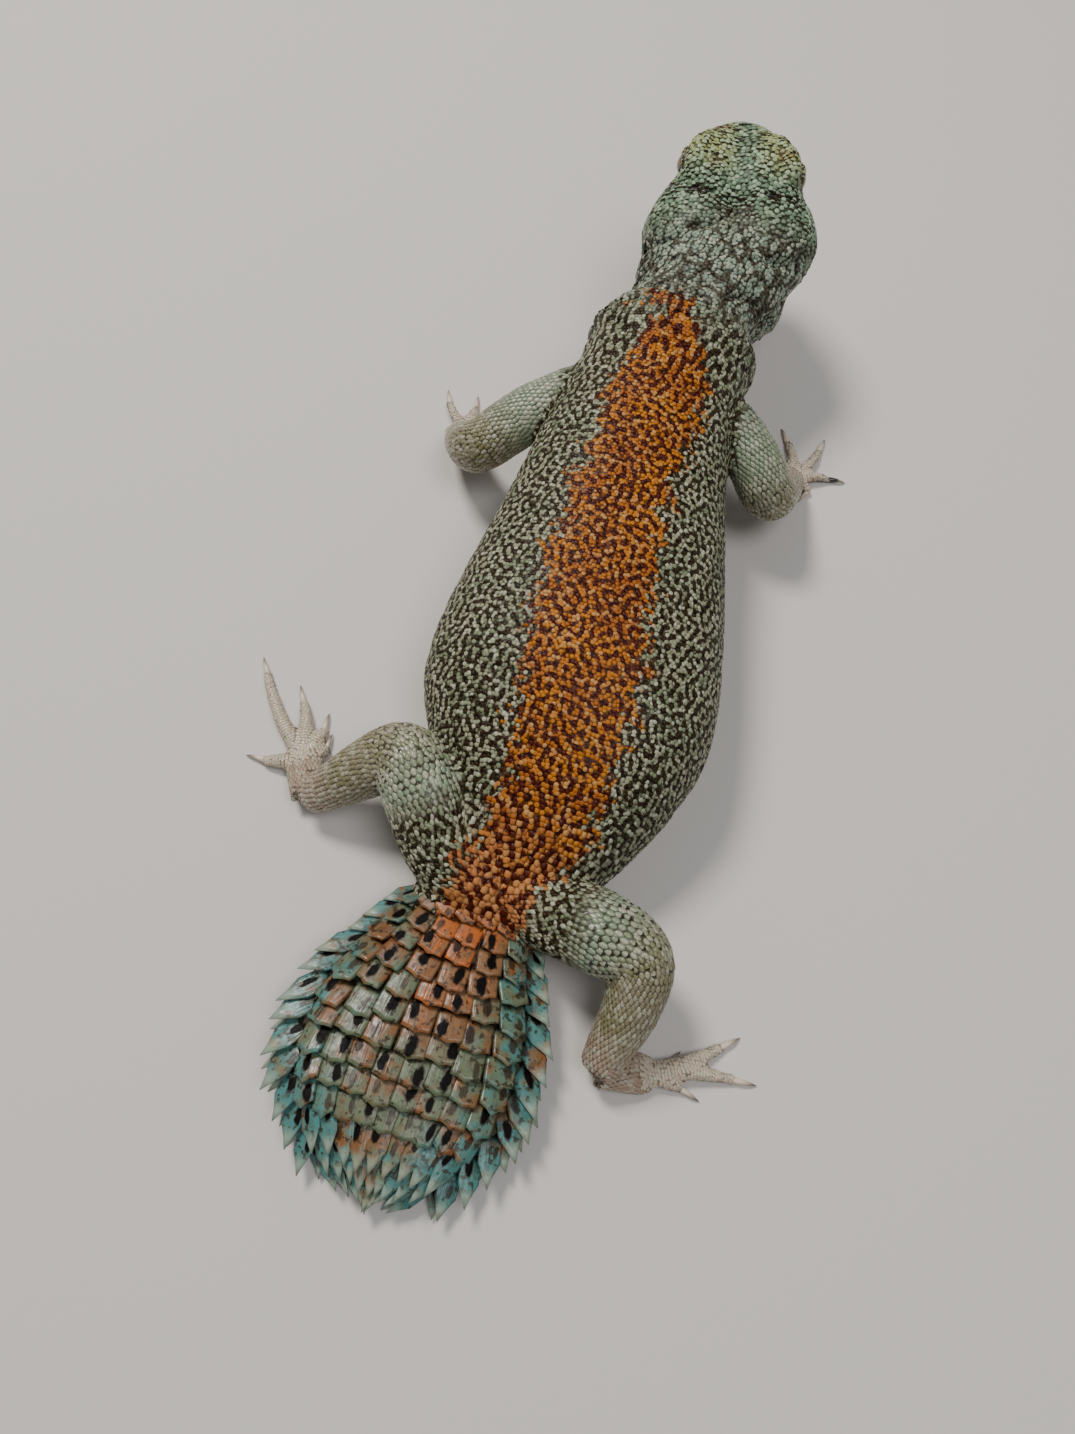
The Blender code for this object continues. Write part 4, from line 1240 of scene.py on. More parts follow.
def unwrap_scales(piece):
    """Gives each scale a small patch of the map OFBake at its root's spot."""
    mesh = piece.data
    local = np.clip(vectors_of(mesh, "local")[:, :2], -PATCH_REACH, PATCH_REACH)
    flat = vectors_of(mesh, "spot")[:, :2] + local * PATCH_SIZE
    corners = np.empty(len(mesh.loops), int)
    mesh.loops.foreach_get("vertex_index", corners)
    layer = mesh.uv_layers.new(name="OFBake")
    layer.data.foreach_set("uv", flat[corners].ravel())
    mesh.attributes.remove(mesh.attributes["spot"])


def spread_pattern(mesh, share):
    """Lets the markings run over the seams: partly by each scale's root, partly by the point's place."""
    mixed = share * vectors_of(mesh, "root") + (1 - share) * points_of(mesh) / MM
    set_worms(mesh, mixed)
    mesh.attributes["root"].data.foreach_set("vector", pattern_place(mixed).astype(np.float32).ravel())


def pattern_place(places):
    """Where the markings are read: drawn out along the neck, and along the spine."""
    placed = np.array(places, float)
    placed[:, 1] = np.where(placed[:, 1] > 50, 50 + (placed[:, 1] - 50) * 0.6, placed[:, 1])
    return placed


def worm_field(places, length, seed):
    """An even labyrinth of light and dark over the unrolled trunk, as a sum of plane waves of one length."""
    y = np.clip(places[:, 1], -60.0, 82.0)
    rows = smooth_rows(TRUNK, 6)
    shift, half, top, wide = (np.interp(y, rows[:, 0], rows[:, k]) for k in (1, 2, 3, 4))
    turn = np.arctan2(places[:, 0] - shift, np.maximum(places[:, 2] - wide, -half) + 0.3 * half)
    round_way = turn * (0.55 * half + 0.45 * (top - wide + 0.3 * half))
    along = np.where(places[:, 1] > 42, 42 + (places[:, 1] - 42) * 0.44, places[:, 1])
    round_way = round_way * np.interp(places[:, 1], [40, 58], [1.0, 0.8])
    # On the thighs, which stand out from the trunk, the waves are read in the round
    over = np.abs(places[:, 0] - shift) / half
    over = over ** FULLNESS + (np.maximum(places[:, 2] - wide, 0) / (top - wide)) ** FULLNESS
    thigh = (over > 1.12) & (places[:, 1] < -25)
    round_way = np.where(thigh, places[:, 0], round_way)
    third = np.where(thigh, places[:, 2], 0.0)
    numbers = np.random.default_rng(seed)
    field = np.zeros(len(places))
    for _ in range(WAVES):
        angle, phase = numbers.random(2) * 2 * math.pi
        rate = 2 * math.pi / (length * numbers.uniform(0.74, 1.30))
        flat = math.cos(angle) * round_way + math.sin(angle) * along
        field += np.cos(rate * (flat + numbers.uniform(-0.8, 0.8) * third) + phase)
    return field / math.sqrt(WAVES / 2)


def set_worms(mesh, places):
    """The worm-like marks of the flanks and of the stripe, and the net of the neck, for each point."""
    set_vectors(mesh, "worms", np.stack([worm_field(places, *worm) for worm in WORMS], axis=1))


def smooth_step(low, high, value):
    t = min(1.0, max(0.0, (value - low) / (high - low)))
    return t * t * (3 - 2 * t)


@functools.cache
def into_head():
    return head_frame().inverted()


STRIPE_EDGES = np.array(STRIPE)[::-1]


def stripe_depth(root):
    """How far inside the orange stripe a place lies, in millimetres."""
    left = np.interp(root.y, STRIPE_EDGES[:, 0], STRIPE_EDGES[:, 1])
    right = np.interp(root.y, STRIPE_EDGES[:, 0], STRIPE_EDGES[:, 2])
    inside = min(root.x - left, right - root.x)
    if root.y > 56:
        inside = min(inside, 55.5 - root.y)
    if root.y > 50:
        patch = math.hypot((root.x - NAPE_SPOT[0]) / NAPE_SPOT[2], (root.y - NAPE_SPOT[1]) / NAPE_SPOT[3])
        inside = max(inside, 1.5 * (1 - patch))
    return inside


def groove_shade_share(root):
    """How much painted shade a place gets near a groove behind the brows or the temples, 0 to 0.9."""
    share = 0.0
    for line, half, _ in HOLLOWS[2:]:
        for a, b in zip(line, line[1:]):
            near, part = mathutils.geometry.intersect_point_line(root, Vector(a), Vector(b))
            near = Vector(a).lerp(Vector(b), max(0.0, min(1.0, part)))
            share = max(share, 0.9 * math.exp(-((root - near).length / (1.3 * half)) ** 2))
    return share


def limb_place(zone):
    """Which part of a limb a scale stands on, and how far along it, as a share."""
    return int(zone), (zone - int(zone)) / ZONE_RUN


def masks_of(root, normal, zone, dot, chance):
    """What colours one place: stripe, head and belly; leg, foot and warm; then dark spot and chances.

    Warm means the mint of the thigh on a leg and the yellow of the brows on the head. The foot runs
    from 0 on the leg to 0.75 on the foot and 1 on the toes. The dark spot is a thigh's dark point on a
    leg, and painted shade of the nape's hollow and the grooves on the head.
    """
    own = into_head() @ root
    head = 1 - smooth_step(22.0, 31.0, -own.y)
    inside = stripe_depth(root)
    leg = 0.0
    foot = 0.0
    warm = 0.0
    belly = smooth_step(0.05, 0.75, -normal.z)
    if head > 0:
        warm = (1 - smooth_step(13.0, 19.5, -own.y)) * smooth_step(0.5, 4.5, abs(own.x)) \
            * smooth_step(-0.1, 0.4, normal.z)
        warm = max(warm, 1 - head)
        # On the head the dark spot is painted shade: the nape's hollow and the grooves are darkened
        dot = 1 - smooth_step(1.5, 7.0, math.hypot(root.x - 4.2, root.y - 77.3))
        dot = max(dot, groove_shade_share(root))
    else:
        warm = smooth_step(50.0, 64.0, root.y)
    if ON_FORELEG <= zone < ON_HEAD:
        head = 0.0
        part, along = limb_place(zone)
        leg = smooth_step(0.16, 0.30, along) if part == ON_FORELEG else smooth_step(0.33, 0.44, along)
        leg = leg if zone < ON_FOOT else 1.0
        inside = inside * (1 - leg) - 6.0 * leg
        if part in (ON_FOOT, ON_TOE):
            foot = 0.75 if part == ON_FOOT else 1.0
        else:
            foot = 0.75 * smooth_step(0.74, 0.98, along)
        warm = 0.0 if foot > 0.74 else 1 - smooth_step(0.40, 0.62, along)
        warm *= 0.8 if part == ON_FORELEG else leg
        belly *= 0.6
    elif root.z < 15 and zone == ON_TRUNK and normal.z < 0.2:
        inside = -6.0
    return (max(-6.0, min(6.0, inside)), head, belly, leg, foot, warm, dot, chance[0], chance[1])


def unwrap_spot(root, normal, lie, zone, rows):
    """Where a root lies on the skin's own unwrap: the trunk unrolled on the left, the legs on the right."""
    if ON_FORELEG <= zone < ON_HEAD:
        side = lie.cross(Vector((0, 0, 1)))
        turn = math.atan2(normal.z, normal.dot(side.normalized())) / (2 * math.pi) + 0.5
        part, along = limb_place(zone)
        start, share = {ON_FOOT: (0.64, 0.12), ON_TOE: (0.78, 0.20)}.get(part, (0.0, 0.62))
        quarter = (0 if root.x > -5 else 1) + (0 if root.y > 0 else 2)
        return (0.66 + 0.33 * turn, 0.01 + 0.245 * (quarter + start + share * along))
    _, shift, _, _, wide, _ = row_at(rows, max(-58.0, min(82.0, root.y)))
    turn = math.atan2(root.z - wide, root.x - shift) / (2 * math.pi) + 0.25
    return (0.01 + 0.62 * ((root.y + 105.0) / 212.0), 0.01 + 0.98 * (turn % 1.0))


def srgb(code):
    """A linear colour from an sRGB hex code."""
    parts = [int(code[i:i + 2], 16) / 255 for i in (0, 2, 4)]
    return tuple(c / 12.92 if c <= 0.04045 else ((c + 0.055) / 1.055) ** 2.4 for c in parts) + (1.0,)


def new_material(name):
    made = bpy.data.materials.new(name)
    made.use_nodes = True
    tree = made.node_tree
    return made, tree, tree.nodes["Principled BSDF"]


def node(tree, kind, links=(), **settings):
    """Adds a node with its settings, and links or sets its inputs."""
    made = tree.nodes.new(kind)
    for key, value in settings.items():
        setattr(made, key, value)
    for target, source in links:
        socket = made.inputs[target]
        if hasattr(source, "is_output"):
            tree.links.new(source, socket)
        else:
            socket.default_value = source
    return made


def blend(tree, share, first, second, mode="MIX"):
    """Mixes two colours."""
    return node(tree, "ShaderNodeMix", [(0, share), (6, first), (7, second)], data_type="RGBA",
                blend_type=mode).outputs[2]


def ramp(tree, value, low, high, start=0.0, end=1.0):
    """A smooth step of a value."""
    return node(tree, "ShaderNodeMapRange", [("Value", value), ("From Min", low), ("From Max", high),
                                             ("To Min", start), ("To Max", end)],
                interpolation_type="SMOOTHSTEP").outputs["Result"]


def maths(tree, what, a, b=0.0):
    return node(tree, "ShaderNodeMath", [(0, a), (1, b)], operation=what).outputs["Value"]


def times(tree, a, b):
    return maths(tree, "MULTIPLY", a, b)


def plus(tree, a, b):
    return maths(tree, "ADD", a, b)


def noise(tree, at, scale, detail=2.0, warp=0.0):
    return node(tree, "ShaderNodeTexNoise", [("Vector", at), ("Scale", scale), ("Detail", detail),
                                             ("Distortion", warp)]).outputs["Fac"]


def vector_of(tree, key):
    return node(tree, "ShaderNodeAttribute", attribute_name=key).outputs["Vector"]


def parts_of(tree, key):
    """The three numbers of a named vector attribute."""
    return node(tree, "ShaderNodeSeparateXYZ", [(0, vector_of(tree, key))]).outputs


def centred(tree, value, size):
    """A 0 to 1 value moved to stand evenly round 0, times a size."""
    return times(tree, maths(tree, "SUBTRACT", value, 0.5), size)


def hide_material(name, between):
    """Living lizard hide: dry horny scales over soft skin, satin, with the marbling in the scales.

    The markings are read at the attribute root. The soft skin between the scales is darkened by painted
    shade, by the share called between.
    """
    made, tree, shader = new_material(name)
    root = vector_of(tree, "root")
    tones = parts_of(tree, "tones")
    places = parts_of(tree, "places")
    chances = parts_of(tree, "chances")
    local = parts_of(tree, "local")
    worms = parts_of(tree, "worms")
    luck = centred(tree, chances["Y"], 0.5)

    # The dark worm-like marks lie 2 mm apart on the flanks and on the stripe
    wander = noise(tree, root, 0.17, 2.0)
    ragged = plus(tree, centred(tree, noise(tree, root, 0.30, 2.0), 9.0),
                  centred(tree, noise(tree, root, 0.9, 1.0), 8.0))
    stripe = ramp(tree, plus(tree, tones["X"], ragged), -0.5, 0.7)
    veins = plus(tree, worms["X"], luck)
    flank = blend(tree, ramp(tree, wander, 0.35, 0.65), srgb(FLANK_PALE), srgb(FLANK_GREEN))
    flank = blend(tree, places["Z"], flank, srgb(NECK_MINT))
    flank = blend(tree, ramp(tree, chances["Z"], 0.45, 1.0, 0.0, 0.75), flank, srgb(FLANK_LIGHT))
    dark = blend(tree, places["Z"], srgb(FLANK_DARK), srgb(NECK_DARK))
    net = node(tree, "ShaderNodeMath", [(0, plus(tree, worms["Z"], luck))], operation="ABSOLUTE")
    net = ramp(tree, net.outputs["Value"], 0.30, 0.95, 0.95, 0.0)
    veins = node(tree, "ShaderNodeMix", [(0, places["Z"]), (2, ramp(tree, veins, -0.22, 0.36)), (3, net)],
                 data_type="FLOAT").outputs[0]
    flank = blend(tree, veins, flank, dark)
    marks = plus(tree, worms["Y"], luck)
    back = blend(tree, ramp(tree, wander, 0.38, 0.62), srgb(STRIPE_ORANGE), srgb(STRIPE_RUST))
    back = blend(tree, ramp(tree, chances["Z"], 0.5, 1.0, 0.0, 0.8), back, srgb(STRIPE_LIGHT))
    place = node(tree, "ShaderNodeSeparateXYZ", [(0, root)]).outputs
    back = blend(tree, ramp(tree, place["Y"], -58.0, -36.0, 0.75, 0.0), back, srgb(RUMP_SALMON))
    back = blend(tree, ramp(tree, marks, -0.10, 0.46), back, srgb(STRIPE_DARK))
    colour = blend(tree, stripe, flank, back)

    # The head: mint plates, yellow ones on the brows, each with a dark hind edge of its own depth, darker
    # still with painted shade in the nape's hollow and the grooves
    brow = plus(tree, places["Z"], maths(tree, "SUBTRACT", tones["Y"], 1.0))
    brow = maths(tree, "MAXIMUM", brow, 0.0)
    head = blend(tree, brow, srgb(HEAD_GREEN), srgb(HEAD_YELLOW))
    head = blend(tree, ramp(tree, chances["Z"], 0.3, 1.0, 0.0, 0.7), head, srgb(HEAD_LIGHT))
    edge = plus(tree, local["Y"], centred(tree, chances["Y"], 1.2))
    edge = plus(tree, edge, centred(tree, noise(tree, root, 0.55, 1.0), 1.7))
    # Painted shade of the nape's hollow and the grooves darkens the plates' edges further
    edge = plus(tree, edge, chances["X"])
    rust = times(tree, ramp(tree, noise(tree, root, 0.30, 2.0), 0.54, 0.64, 0.0, 0.6), brow)
    head = blend(tree, rust, head, srgb(HEAD_RUST))
    head = blend(tree, ramp(tree, edge, 0.50, 0.78), head, srgb(HEAD_SPECK_AND_SHADE))
    colour = blend(tree, tones["Y"], colour, head)

    # Legs: olive tan, mint on the thighs with dark points, pinkish beige on the feet, paler toes
    leg = blend(tree, ramp(tree, wander, 0.35, 0.65), srgb(LEG_TAN), srgb(LEG_OLIVE))
    leg = blend(tree, places["Z"], leg, srgb(THIGH_MINT))
    leg = blend(tree, ramp(tree, places["Y"], 0.0, 0.75), leg, srgb(FOOT_PINK))
    leg = blend(tree, ramp(tree, places["Y"], 0.76, 1.0), leg, srgb(TOE_PALE))
    leg = blend(tree, ramp(tree, chances["Z"], 0.3, 1.0, 0.0, 0.65), leg, srgb(LEG_LIGHT))
    point = times(tree, chances["X"], ramp(tree, local["Y"], 0.30, 0.60))
    leg = blend(tree, point, leg, srgb(FLANK_DARK))
    colour = blend(tree, places["X"], colour, leg)
    colour = blend(tree, times(tree, tones["Z"], 0.85), colour, srgb(BELLY_CREAM))

    # Painted shade in the seams: the feet of the scales are darker than their crowns
    low = ramp(tree, local["Z"], 0.05, 0.57, 0.80, 0.0)
    low = times(tree, low, maths(tree, "SUBTRACT", 1.0, times(tree, places["X"], 0.25)))
    seam = blend(tree, 1.0, colour, srgb(SEAM_SHADE), "MULTIPLY")
    # The skin, seen only in the gaps between the scales, gets painted shade by the share between
    if between:
        low = times(tree, between, maths(tree, "SUBTRACT", 1.0, times(tree, places["Y"], 0.2)))
    colour = blend(tree, low, colour, seam)
    tree.links.new(colour, shader.inputs["Base Color"])
    rough = plus(tree, 0.40, times(tree, places["X"], -0.14))
    rough = plus(tree, rough, centred(tree, noise(tree, root, 2.0, 2.0), 0.2))
    tree.links.new(rough, shader.inputs["Roughness"])
    spot = node(tree, "ShaderNodeTexCoord").outputs["Object"]
    bump = node(tree, "ShaderNodeBump", [("Height", noise(tree, spot, 5200.0, 3.0)), ("Strength", 0.2),
                                         ("Distance", 0.00008)])
    tree.links.new(bump.outputs["Normal"], shader.inputs["Normal"])
    shine = plus(tree, 0.17, times(tree, places["X"], 0.30))
    tree.links.new(shine, shader.inputs["Specular IOR Level"])
    return made


def tail_material():
    """Horny tail scales: hard keratin, half glossy, blue-green with black ovals and orange near the root."""
    made, tree, shader = new_material("horny_tail_scale")
    root = vector_of(tree, "root")
    tones = parts_of(tree, "tones")
    chances = parts_of(tree, "chances")
    local = parts_of(tree, "local")
    wander = noise(tree, root, 0.30, 2.0)
    stroke = node(tree, "ShaderNodeCombineXYZ", [("X", times(tree, local["X"], 4.5)), ("Y", local["Y"]),
                                                 ("Z", times(tree, chances["Y"], 40.0))])
    strokes = noise(tree, stroke.outputs["Vector"], 1.4, 2.0)
    teal = plus(tree, tones["Z"], centred(tree, wander, 1.6))
    teal = plus(tree, teal, centred(tree, strokes, 0.8))
    patch = plus(tree, centred(tree, wander, 2.4), centred(tree, chances["Y"], 0.5))
    base = blend(tree, ramp(tree, patch, -0.42, 0.15), srgb(TAIL_TAN), srgb(TAIL_SAGE))
    base = blend(tree, ramp(tree, teal, 0.40, 0.75), base, srgb(TAIL_TEAL))
    base = blend(tree, ramp(tree, strokes, 0.50, 0.66, 0.0, 0.5), base, srgb(TAIL_SAGE))
    warm = plus(tree, tones["X"], centred(tree, strokes, 7.0))
    warm = plus(tree, warm, centred(tree, wander, 6.0))
    glow = plus(tree, strokes, centred(tree, chances["X"], 0.5))
    fire = blend(tree, ramp(tree, glow, 0.36, 0.56), srgb(TAIL_ORANGE), srgb(TAIL_ROSE))
    base = blend(tree, times(tree, ramp(tree, warm, -1.0, 1.6), tones["Y"]), base, fire)

    # Brown flecks, and a brown oval with a black heart at a different place on each scale
    smear = noise(tree, node(tree, "ShaderNodeTexCoord").outputs["Object"], 900.0, 4.0, 0.4)
    base = blend(tree, ramp(tree, smear, 0.45, 0.75, 0.0, 0.6), base, srgb(TAIL_DUST))
    specks = ramp(tree, noise(tree, root, 1.05, 2.0), 0.56, 0.64)
    base = blend(tree, times(tree, specks, 0.8), base, srgb(TAIL_SPECK))
    large = plus(tree, 0.72, times(tree, chances["X"], 0.5))
    dx = maths(tree, "DIVIDE", plus(tree, local["X"], centred(tree, chances["Y"], 1.2)), 0.36)
    down = plus(tree, 0.34, times(tree, chances["Z"], 0.40))
    dy = maths(tree, "DIVIDE", maths(tree, "SUBTRACT", local["Y"], down), 0.36)
    far = plus(tree, times(tree, dx, dx), times(tree, dy, dy))
    far = maths(tree, "SQRT", far)
    far = plus(tree, far, centred(tree, noise(tree, root, 0.8, 2.0), 1.2))
    far = maths(tree, "DIVIDE", far, large)
    base = blend(tree, ramp(tree, far, 0.75, 1.1, 0.8, 0.0), base, srgb(TAIL_SPECK))
    heart = times(tree, ramp(tree, far, 0.65, 0.90, 1.0, 0.0), ramp(tree, chances["X"], 0.42, 0.50))
    base = blend(tree, heart, base, srgb(TAIL_BLACK))

    # Painted highlight: a pale hind rim, where the light catches it; painted shade: dark seams in front,
    # under the previous whorl's rim, at the sides and under each scale
    base = blend(tree, ramp(tree, local["Y"], 1.02, 1.60, 0.0, 0.6), base, srgb(TAIL_RIM_HIGHLIGHT))
    base = blend(tree, ramp(tree, local["Y"], 0.04, 0.26, 0.9, 0.0), base, srgb(TAIL_SEAM_SHADE))
    side = node(tree, "ShaderNodeMath", [(0, local["X"])], operation="ABSOLUTE").outputs["Value"]
    base = blend(tree, ramp(tree, side, 0.84, 0.99, 0.0, 0.4), base, srgb(TAIL_SEAM_SHADE))
    # Painted shade under each scale
    under = ramp(tree, local["Z"], -0.30, 0.0, 0.8, 0.0)
    base = blend(tree, under, base, srgb(TAIL_SEAM_SHADE))
    tree.links.new(base, shader.inputs["Base Color"])
    rough = plus(tree, ramp(tree, smear, 0.3, 0.7, 0.24, 0.42), times(tree, heart, 0.2))
    tree.links.new(rough, shader.inputs["Roughness"])
    tree.links.new(maths(tree, "SUBTRACT", 0.32, times(tree, heart, 0.24)),
                   shader.inputs["Specular IOR Level"])
    bump = node(tree, "ShaderNodeBump", [("Height", strokes), ("Strength", 0.35), ("Distance", 0.00025)])
    tree.links.new(bump.outputs["Normal"], shader.inputs["Normal"])
    return made


def claw_material():
    """Claw horn: smooth translucent keratin, beige at the root and dark at the point."""
    made, tree, shader = new_material("claw_horn")
    local = parts_of(tree, "local")
    colour = blend(tree, ramp(tree, local["Y"], 0.25, 1.0), srgb(CLAW_ROOT), srgb(CLAW_POINT))
    dark = times(tree, ramp(tree, local["X"], 0.5, 0.6), ramp(tree, local["Y"], 0.45, 0.75, 1.0, 0.0))
    colour = blend(tree, dark, colour, srgb(CLAW_DARK))
    tree.links.new(colour, shader.inputs["Base Color"])
    shader.inputs["Roughness"].default_value = 0.28
    return made


def eye_material():
    """A wet cornea over a brown iris with a round black pupil and a pale rim."""
    made, tree, shader = new_material("wet_eye")
    turn = parts_of(tree, "local")["X"]
    place = vector_of(tree, "local")
    spokes = noise(tree, place, 9.0, 3.0)
    iris = blend(tree, ramp(tree, spokes, 0.35, 0.7), srgb(IRIS_DARK), srgb(IRIS_BROWN))
    iris = blend(tree, ramp(tree, turn, 0.36, 0.44, 1.0, 0.0), iris, srgb(IRIS_RIM))
    iris = blend(tree, ramp(tree, turn, 0.33, 0.37, 1.0, 0.0), iris, srgb(PUPIL))
    iris = blend(tree, ramp(tree, turn, 0.78, 0.95), iris, srgb(IRIS_EDGE))
    tree.links.new(iris, shader.inputs["Base Color"])
    shader.inputs["Roughness"].default_value = 0.06
    shader.inputs["Coat Weight"].default_value = 1.0
    shader.inputs["Coat Roughness"].default_value = 0.02
    return made


def floor_material():
    """Matt pale paper."""
    made, _, shader = new_material("pale_paper")
    shader.inputs["Base Color"].default_value = srgb(PAPER)
    shader.inputs["Roughness"].default_value = 0.9
    return made


def paint_skin(skin, coat):
    """Gives the skin the same markings as the nearest scale, read at each of its own points."""
    nearest = roots_tree(coat)
    roots, tones, places, chances, local = [], [], [], [], []
    for vert in skin.data.vertices:
        root = vert.co / MM
        _, k, _ = nearest.find(root)
        masks = masks_of(root, vert.normal, coat.rows[k][7], 0.0, (0.5, 0.5))
        roots.append(tuple(root))
        tones.append(masks[0:3])
        places.append(masks[3:6])
        chances.append(masks[6:9])
        local.append((0.0, 0.0, 0.0))
    set_worms(skin.data, np.array(roots))
    roots = pattern_place(roots)
    for key, rows in (("root", roots), ("tones", tones), ("places", places), ("chances", chances),
                      ("local", local)):
        set_vectors(skin.data, key, rows)


def dress(coat, tree, paint, draw):
    """Turns the coat's table into pieces of scales, by kind and by part of the body."""
    shapes = {
        GRANULE: granule_shape("granule", 6, [(1.0, -0.5), (0.95, 0.40), (0.62, 0.84)]),
        KEELED: keeled_shape("keeled_scale"),
        BELLY: granule_shape("belly_plate", 6, [(1.05, -0.4), (0.95, 0.5)], 0.85),
        PLATE: granule_shape("plate", 7, [(1.0, -0.5), (0.95, 0.45), (0.66, 0.84)]),
        RUMP: square_shape("rump_scale"),
        BAND: granule_shape("band_scale", 6, [(1.0, -0.5), (0.95, 0.40), (0.62, 0.82)]),
    }
    rows = smooth_rows(TRUNK, 3)
    groups = {}
    for root, normal, lie, pitch, kind, height, dot, zone in coat.rows:
        chance = (draw.random(), draw.random())
        masks = masks_of(root, normal, zone, dot, chance)
        wide, long, tall = (pitch * share * draw.uniform(0.94, 1.06) for share in FILL[kind])
        tall *= height
        if kind == KEELED and coat.hangs(root, lie, pitch):
            wide, long, tall = wide * POINT_SHRINK, long * POINT_SHRINK, tall * POINT_SHRINK
        if root.z < 0.8:
            tall = min(tall, 0.14)
        if kind in (KEELED, BAND):
            part = "fore" if ON_FORELEG <= zone < ON_HINDLEG or root.y > 0 else "hind"
        elif kind == PLATE:
            part = "head"
        else:
            part = "neck" if root.y > 44 else "chest" if root.y > 16 else "middle" if root.y > -8 else "rear"
        spot = unwrap_spot(root, normal, lie, zone, rows)
        groups.setdefault((part, kind), []).append((root, normal, lie, (wide, long, tall), masks, spot))
    pieces = []
    for (part, kind), entries in sorted(groups.items()):
        pieces.append(grow_scales(f"scales_{part}_{LABELS[kind]}", tree, shapes[kind], entries, paint))
    remove(*shapes.values())
    return pieces


def dress_tail(tree, paint, draw):
    """The whorls of the tail: square shingles on its back, pointed ones beside them, spines at the edges."""
    shapes = {"shingles": tail_shape("tail_shingle", 0.12, 0.10, 0.0, 2.6),
              "pointed": tail_shape("tail_point", 0.26, 0.26, 0.02, 1.8),
              "spines": tail_shape("tail_spine", 0.92, 0.40, 0.0, 1.15)}
    rows = smooth_rows(TRUNK, 3)
    groups = {key: [] for key in shapes}
    for root, normal, lie, size, edge, chance, number in tail_table(draw):
        inside = stripe_depth(root)
        fade = smooth_step(-80.0, -66.0, root.y) * (1 - 0.45 * smooth_step(-63.0, -57.0, root.y))
        teal = min(1.0, 0.70 * edge ** 0.8 + 0.45 * smooth_step(-84.0, -94.0, root.y))
        masks = (max(-6.0, min(6.0, inside)), fade, teal, 0.0, 0.0, 0.0, chance, draw.random(), draw.random())
        spot = unwrap_spot(root, normal, lie, ON_TRUNK, rows)
        rear = 0.3 if number > WHORLS - 5 else 0.0
        key = "pointed" if edge + rear > 0.66 else "shingles"
        if edge > 0.99 or number > WHORLS - 4:
            key = "spines"
        groups[key].append((root, normal, lie, size, masks, spot))
    pieces = [grow_scales("tail_" + key, tree, shapes[key], entries, paint, 0.0)
              for key, entries in groups.items()]
    remove(*shapes.values())
    return pieces


def clothe_tail_core(coat):
    """Smooth scales in rings under the tail, and small squares on its root ahead of the first whorl."""
    rows = smooth_rows(TAIL, 8)
    place, last = TAIL_ROWS
    number = 0
    while place > last:
        row = row_at(rows, place)
        for point in ring_points(row, TAIL_PITCH, number % 2):
            upper = point.z > row[4] + 0.3
            if upper and place < WHORL_START - 1.5:
                continue
            coat.add(point, Vector((0, -1, 0)), TAIL_PITCH, RUMP if upper else BELLY, room=0.7, zone=ON_TRUNK)
        place -= TAIL_PITCH * 0.9
        number += 1


def make_eye(side, paint):
    """An eyeball with its pupil towards the side and a little forwards and up."""
    shape = bmesh.new()
    bmesh.ops.create_uvsphere(shape, u_segments=48, v_segments=40, radius=EYE_RADIUS * MM)
    look = (head_frame().to_3x3() @ Vector((side, 0.24, 0.10))).normalized()
    turn = look.to_track_quat("Z", "Y").to_matrix().to_4x4()
    bmesh.ops.transform(shape, matrix=Matrix.Translation(eye_centre(side) * MM) @ turn, verts=shape.verts)
    mesh = bpy.data.meshes.new("eyeball")
    shape.to_mesh(mesh)
    shape.free()
    eye = link_object("eyeball_left" if side < 0 else "eyeball_right", mesh)
    rows = []
    for vert in mesh.vertices:
        way = (vert.co / MM - eye_centre(side)) / EYE_RADIUS
        rows.append((math.acos(max(-1, min(1, way.dot(look)))), way.x * 0.3, way.z * 0.3))
    set_vectors(mesh, "local", rows)
    mesh.materials.append(paint)
    mesh.shade_smooth()
    return eye


def make_claws(paint):
    """Curved, pointed claws at the toes' tips, that touch down on the floor."""
    tubes = []
    for name, plan in LEGS.items():
        for k, path in enumerate(toe_paths(plan)):
            end = Vector(path[-1][:3])
            way = (end - Vector(path[-2][:3]))
            way.z = 0
            way.normalize()
            root = end - way * 0.5 + Vector((0, 0, 0.25))
            rows = []
            for i in range(7):
                t = i / 6
                at = root + way * CLAW_FULL * t
                at.z = max(0.12, root.z + 0.30 * math.sin(math.pi * t * 0.9) - 0.55 * t * t)
                rows.append((*at, CLAW_RADIUS * (1 - t) ** 0.75 * 1.05 + 0.05))
            made = tube("claw", rows, 10, 2)
            dark = 1.0 if name == "foreleg_right" and k == 3 else 0.0
            set_vectors(made.data, "local", [(dark, (v.co / MM - root).dot(way) / CLAW_FULL, 0.0)
                                             for v in made.data.vertices])
            tubes.append(made)
    claws = join("claws", tubes)
    claws.data.materials.append(paint)
    claws.data.shade_smooth()
    return claws


def settle_in_frame(piece, shift, nodes=()):
    """Moves a finished mesh to the solids' place, hangs it on the root body, and hides the solids that it
    stands for.
    """
    piece.data.transform(Matrix.Translation(shift * MM))
    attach(piece, "root")
    if nodes:
        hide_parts(*nodes)


def set_camera(shift):
    data = bpy.data.cameras.new("camera")
    data.lens = CAMERA_LENS
    data.sensor_width = 36.0
    data.clip_start = 0.005
    data.clip_end = 20.0
    camera = link_object("camera", data)
    a, b, c = (math.radians(t) for t in CAMERA_TURNS)
    turn = Matrix.Rotation(a, 4, "Z") @ Matrix.Rotation(b, 4, "X") @ Matrix.Rotation(c, 4, "Z")
    camera.matrix_world = Matrix.Translation((Vector(CAMERA_PLACE) + shift) * MM) @ turn
    bpy.context.scene.camera = camera


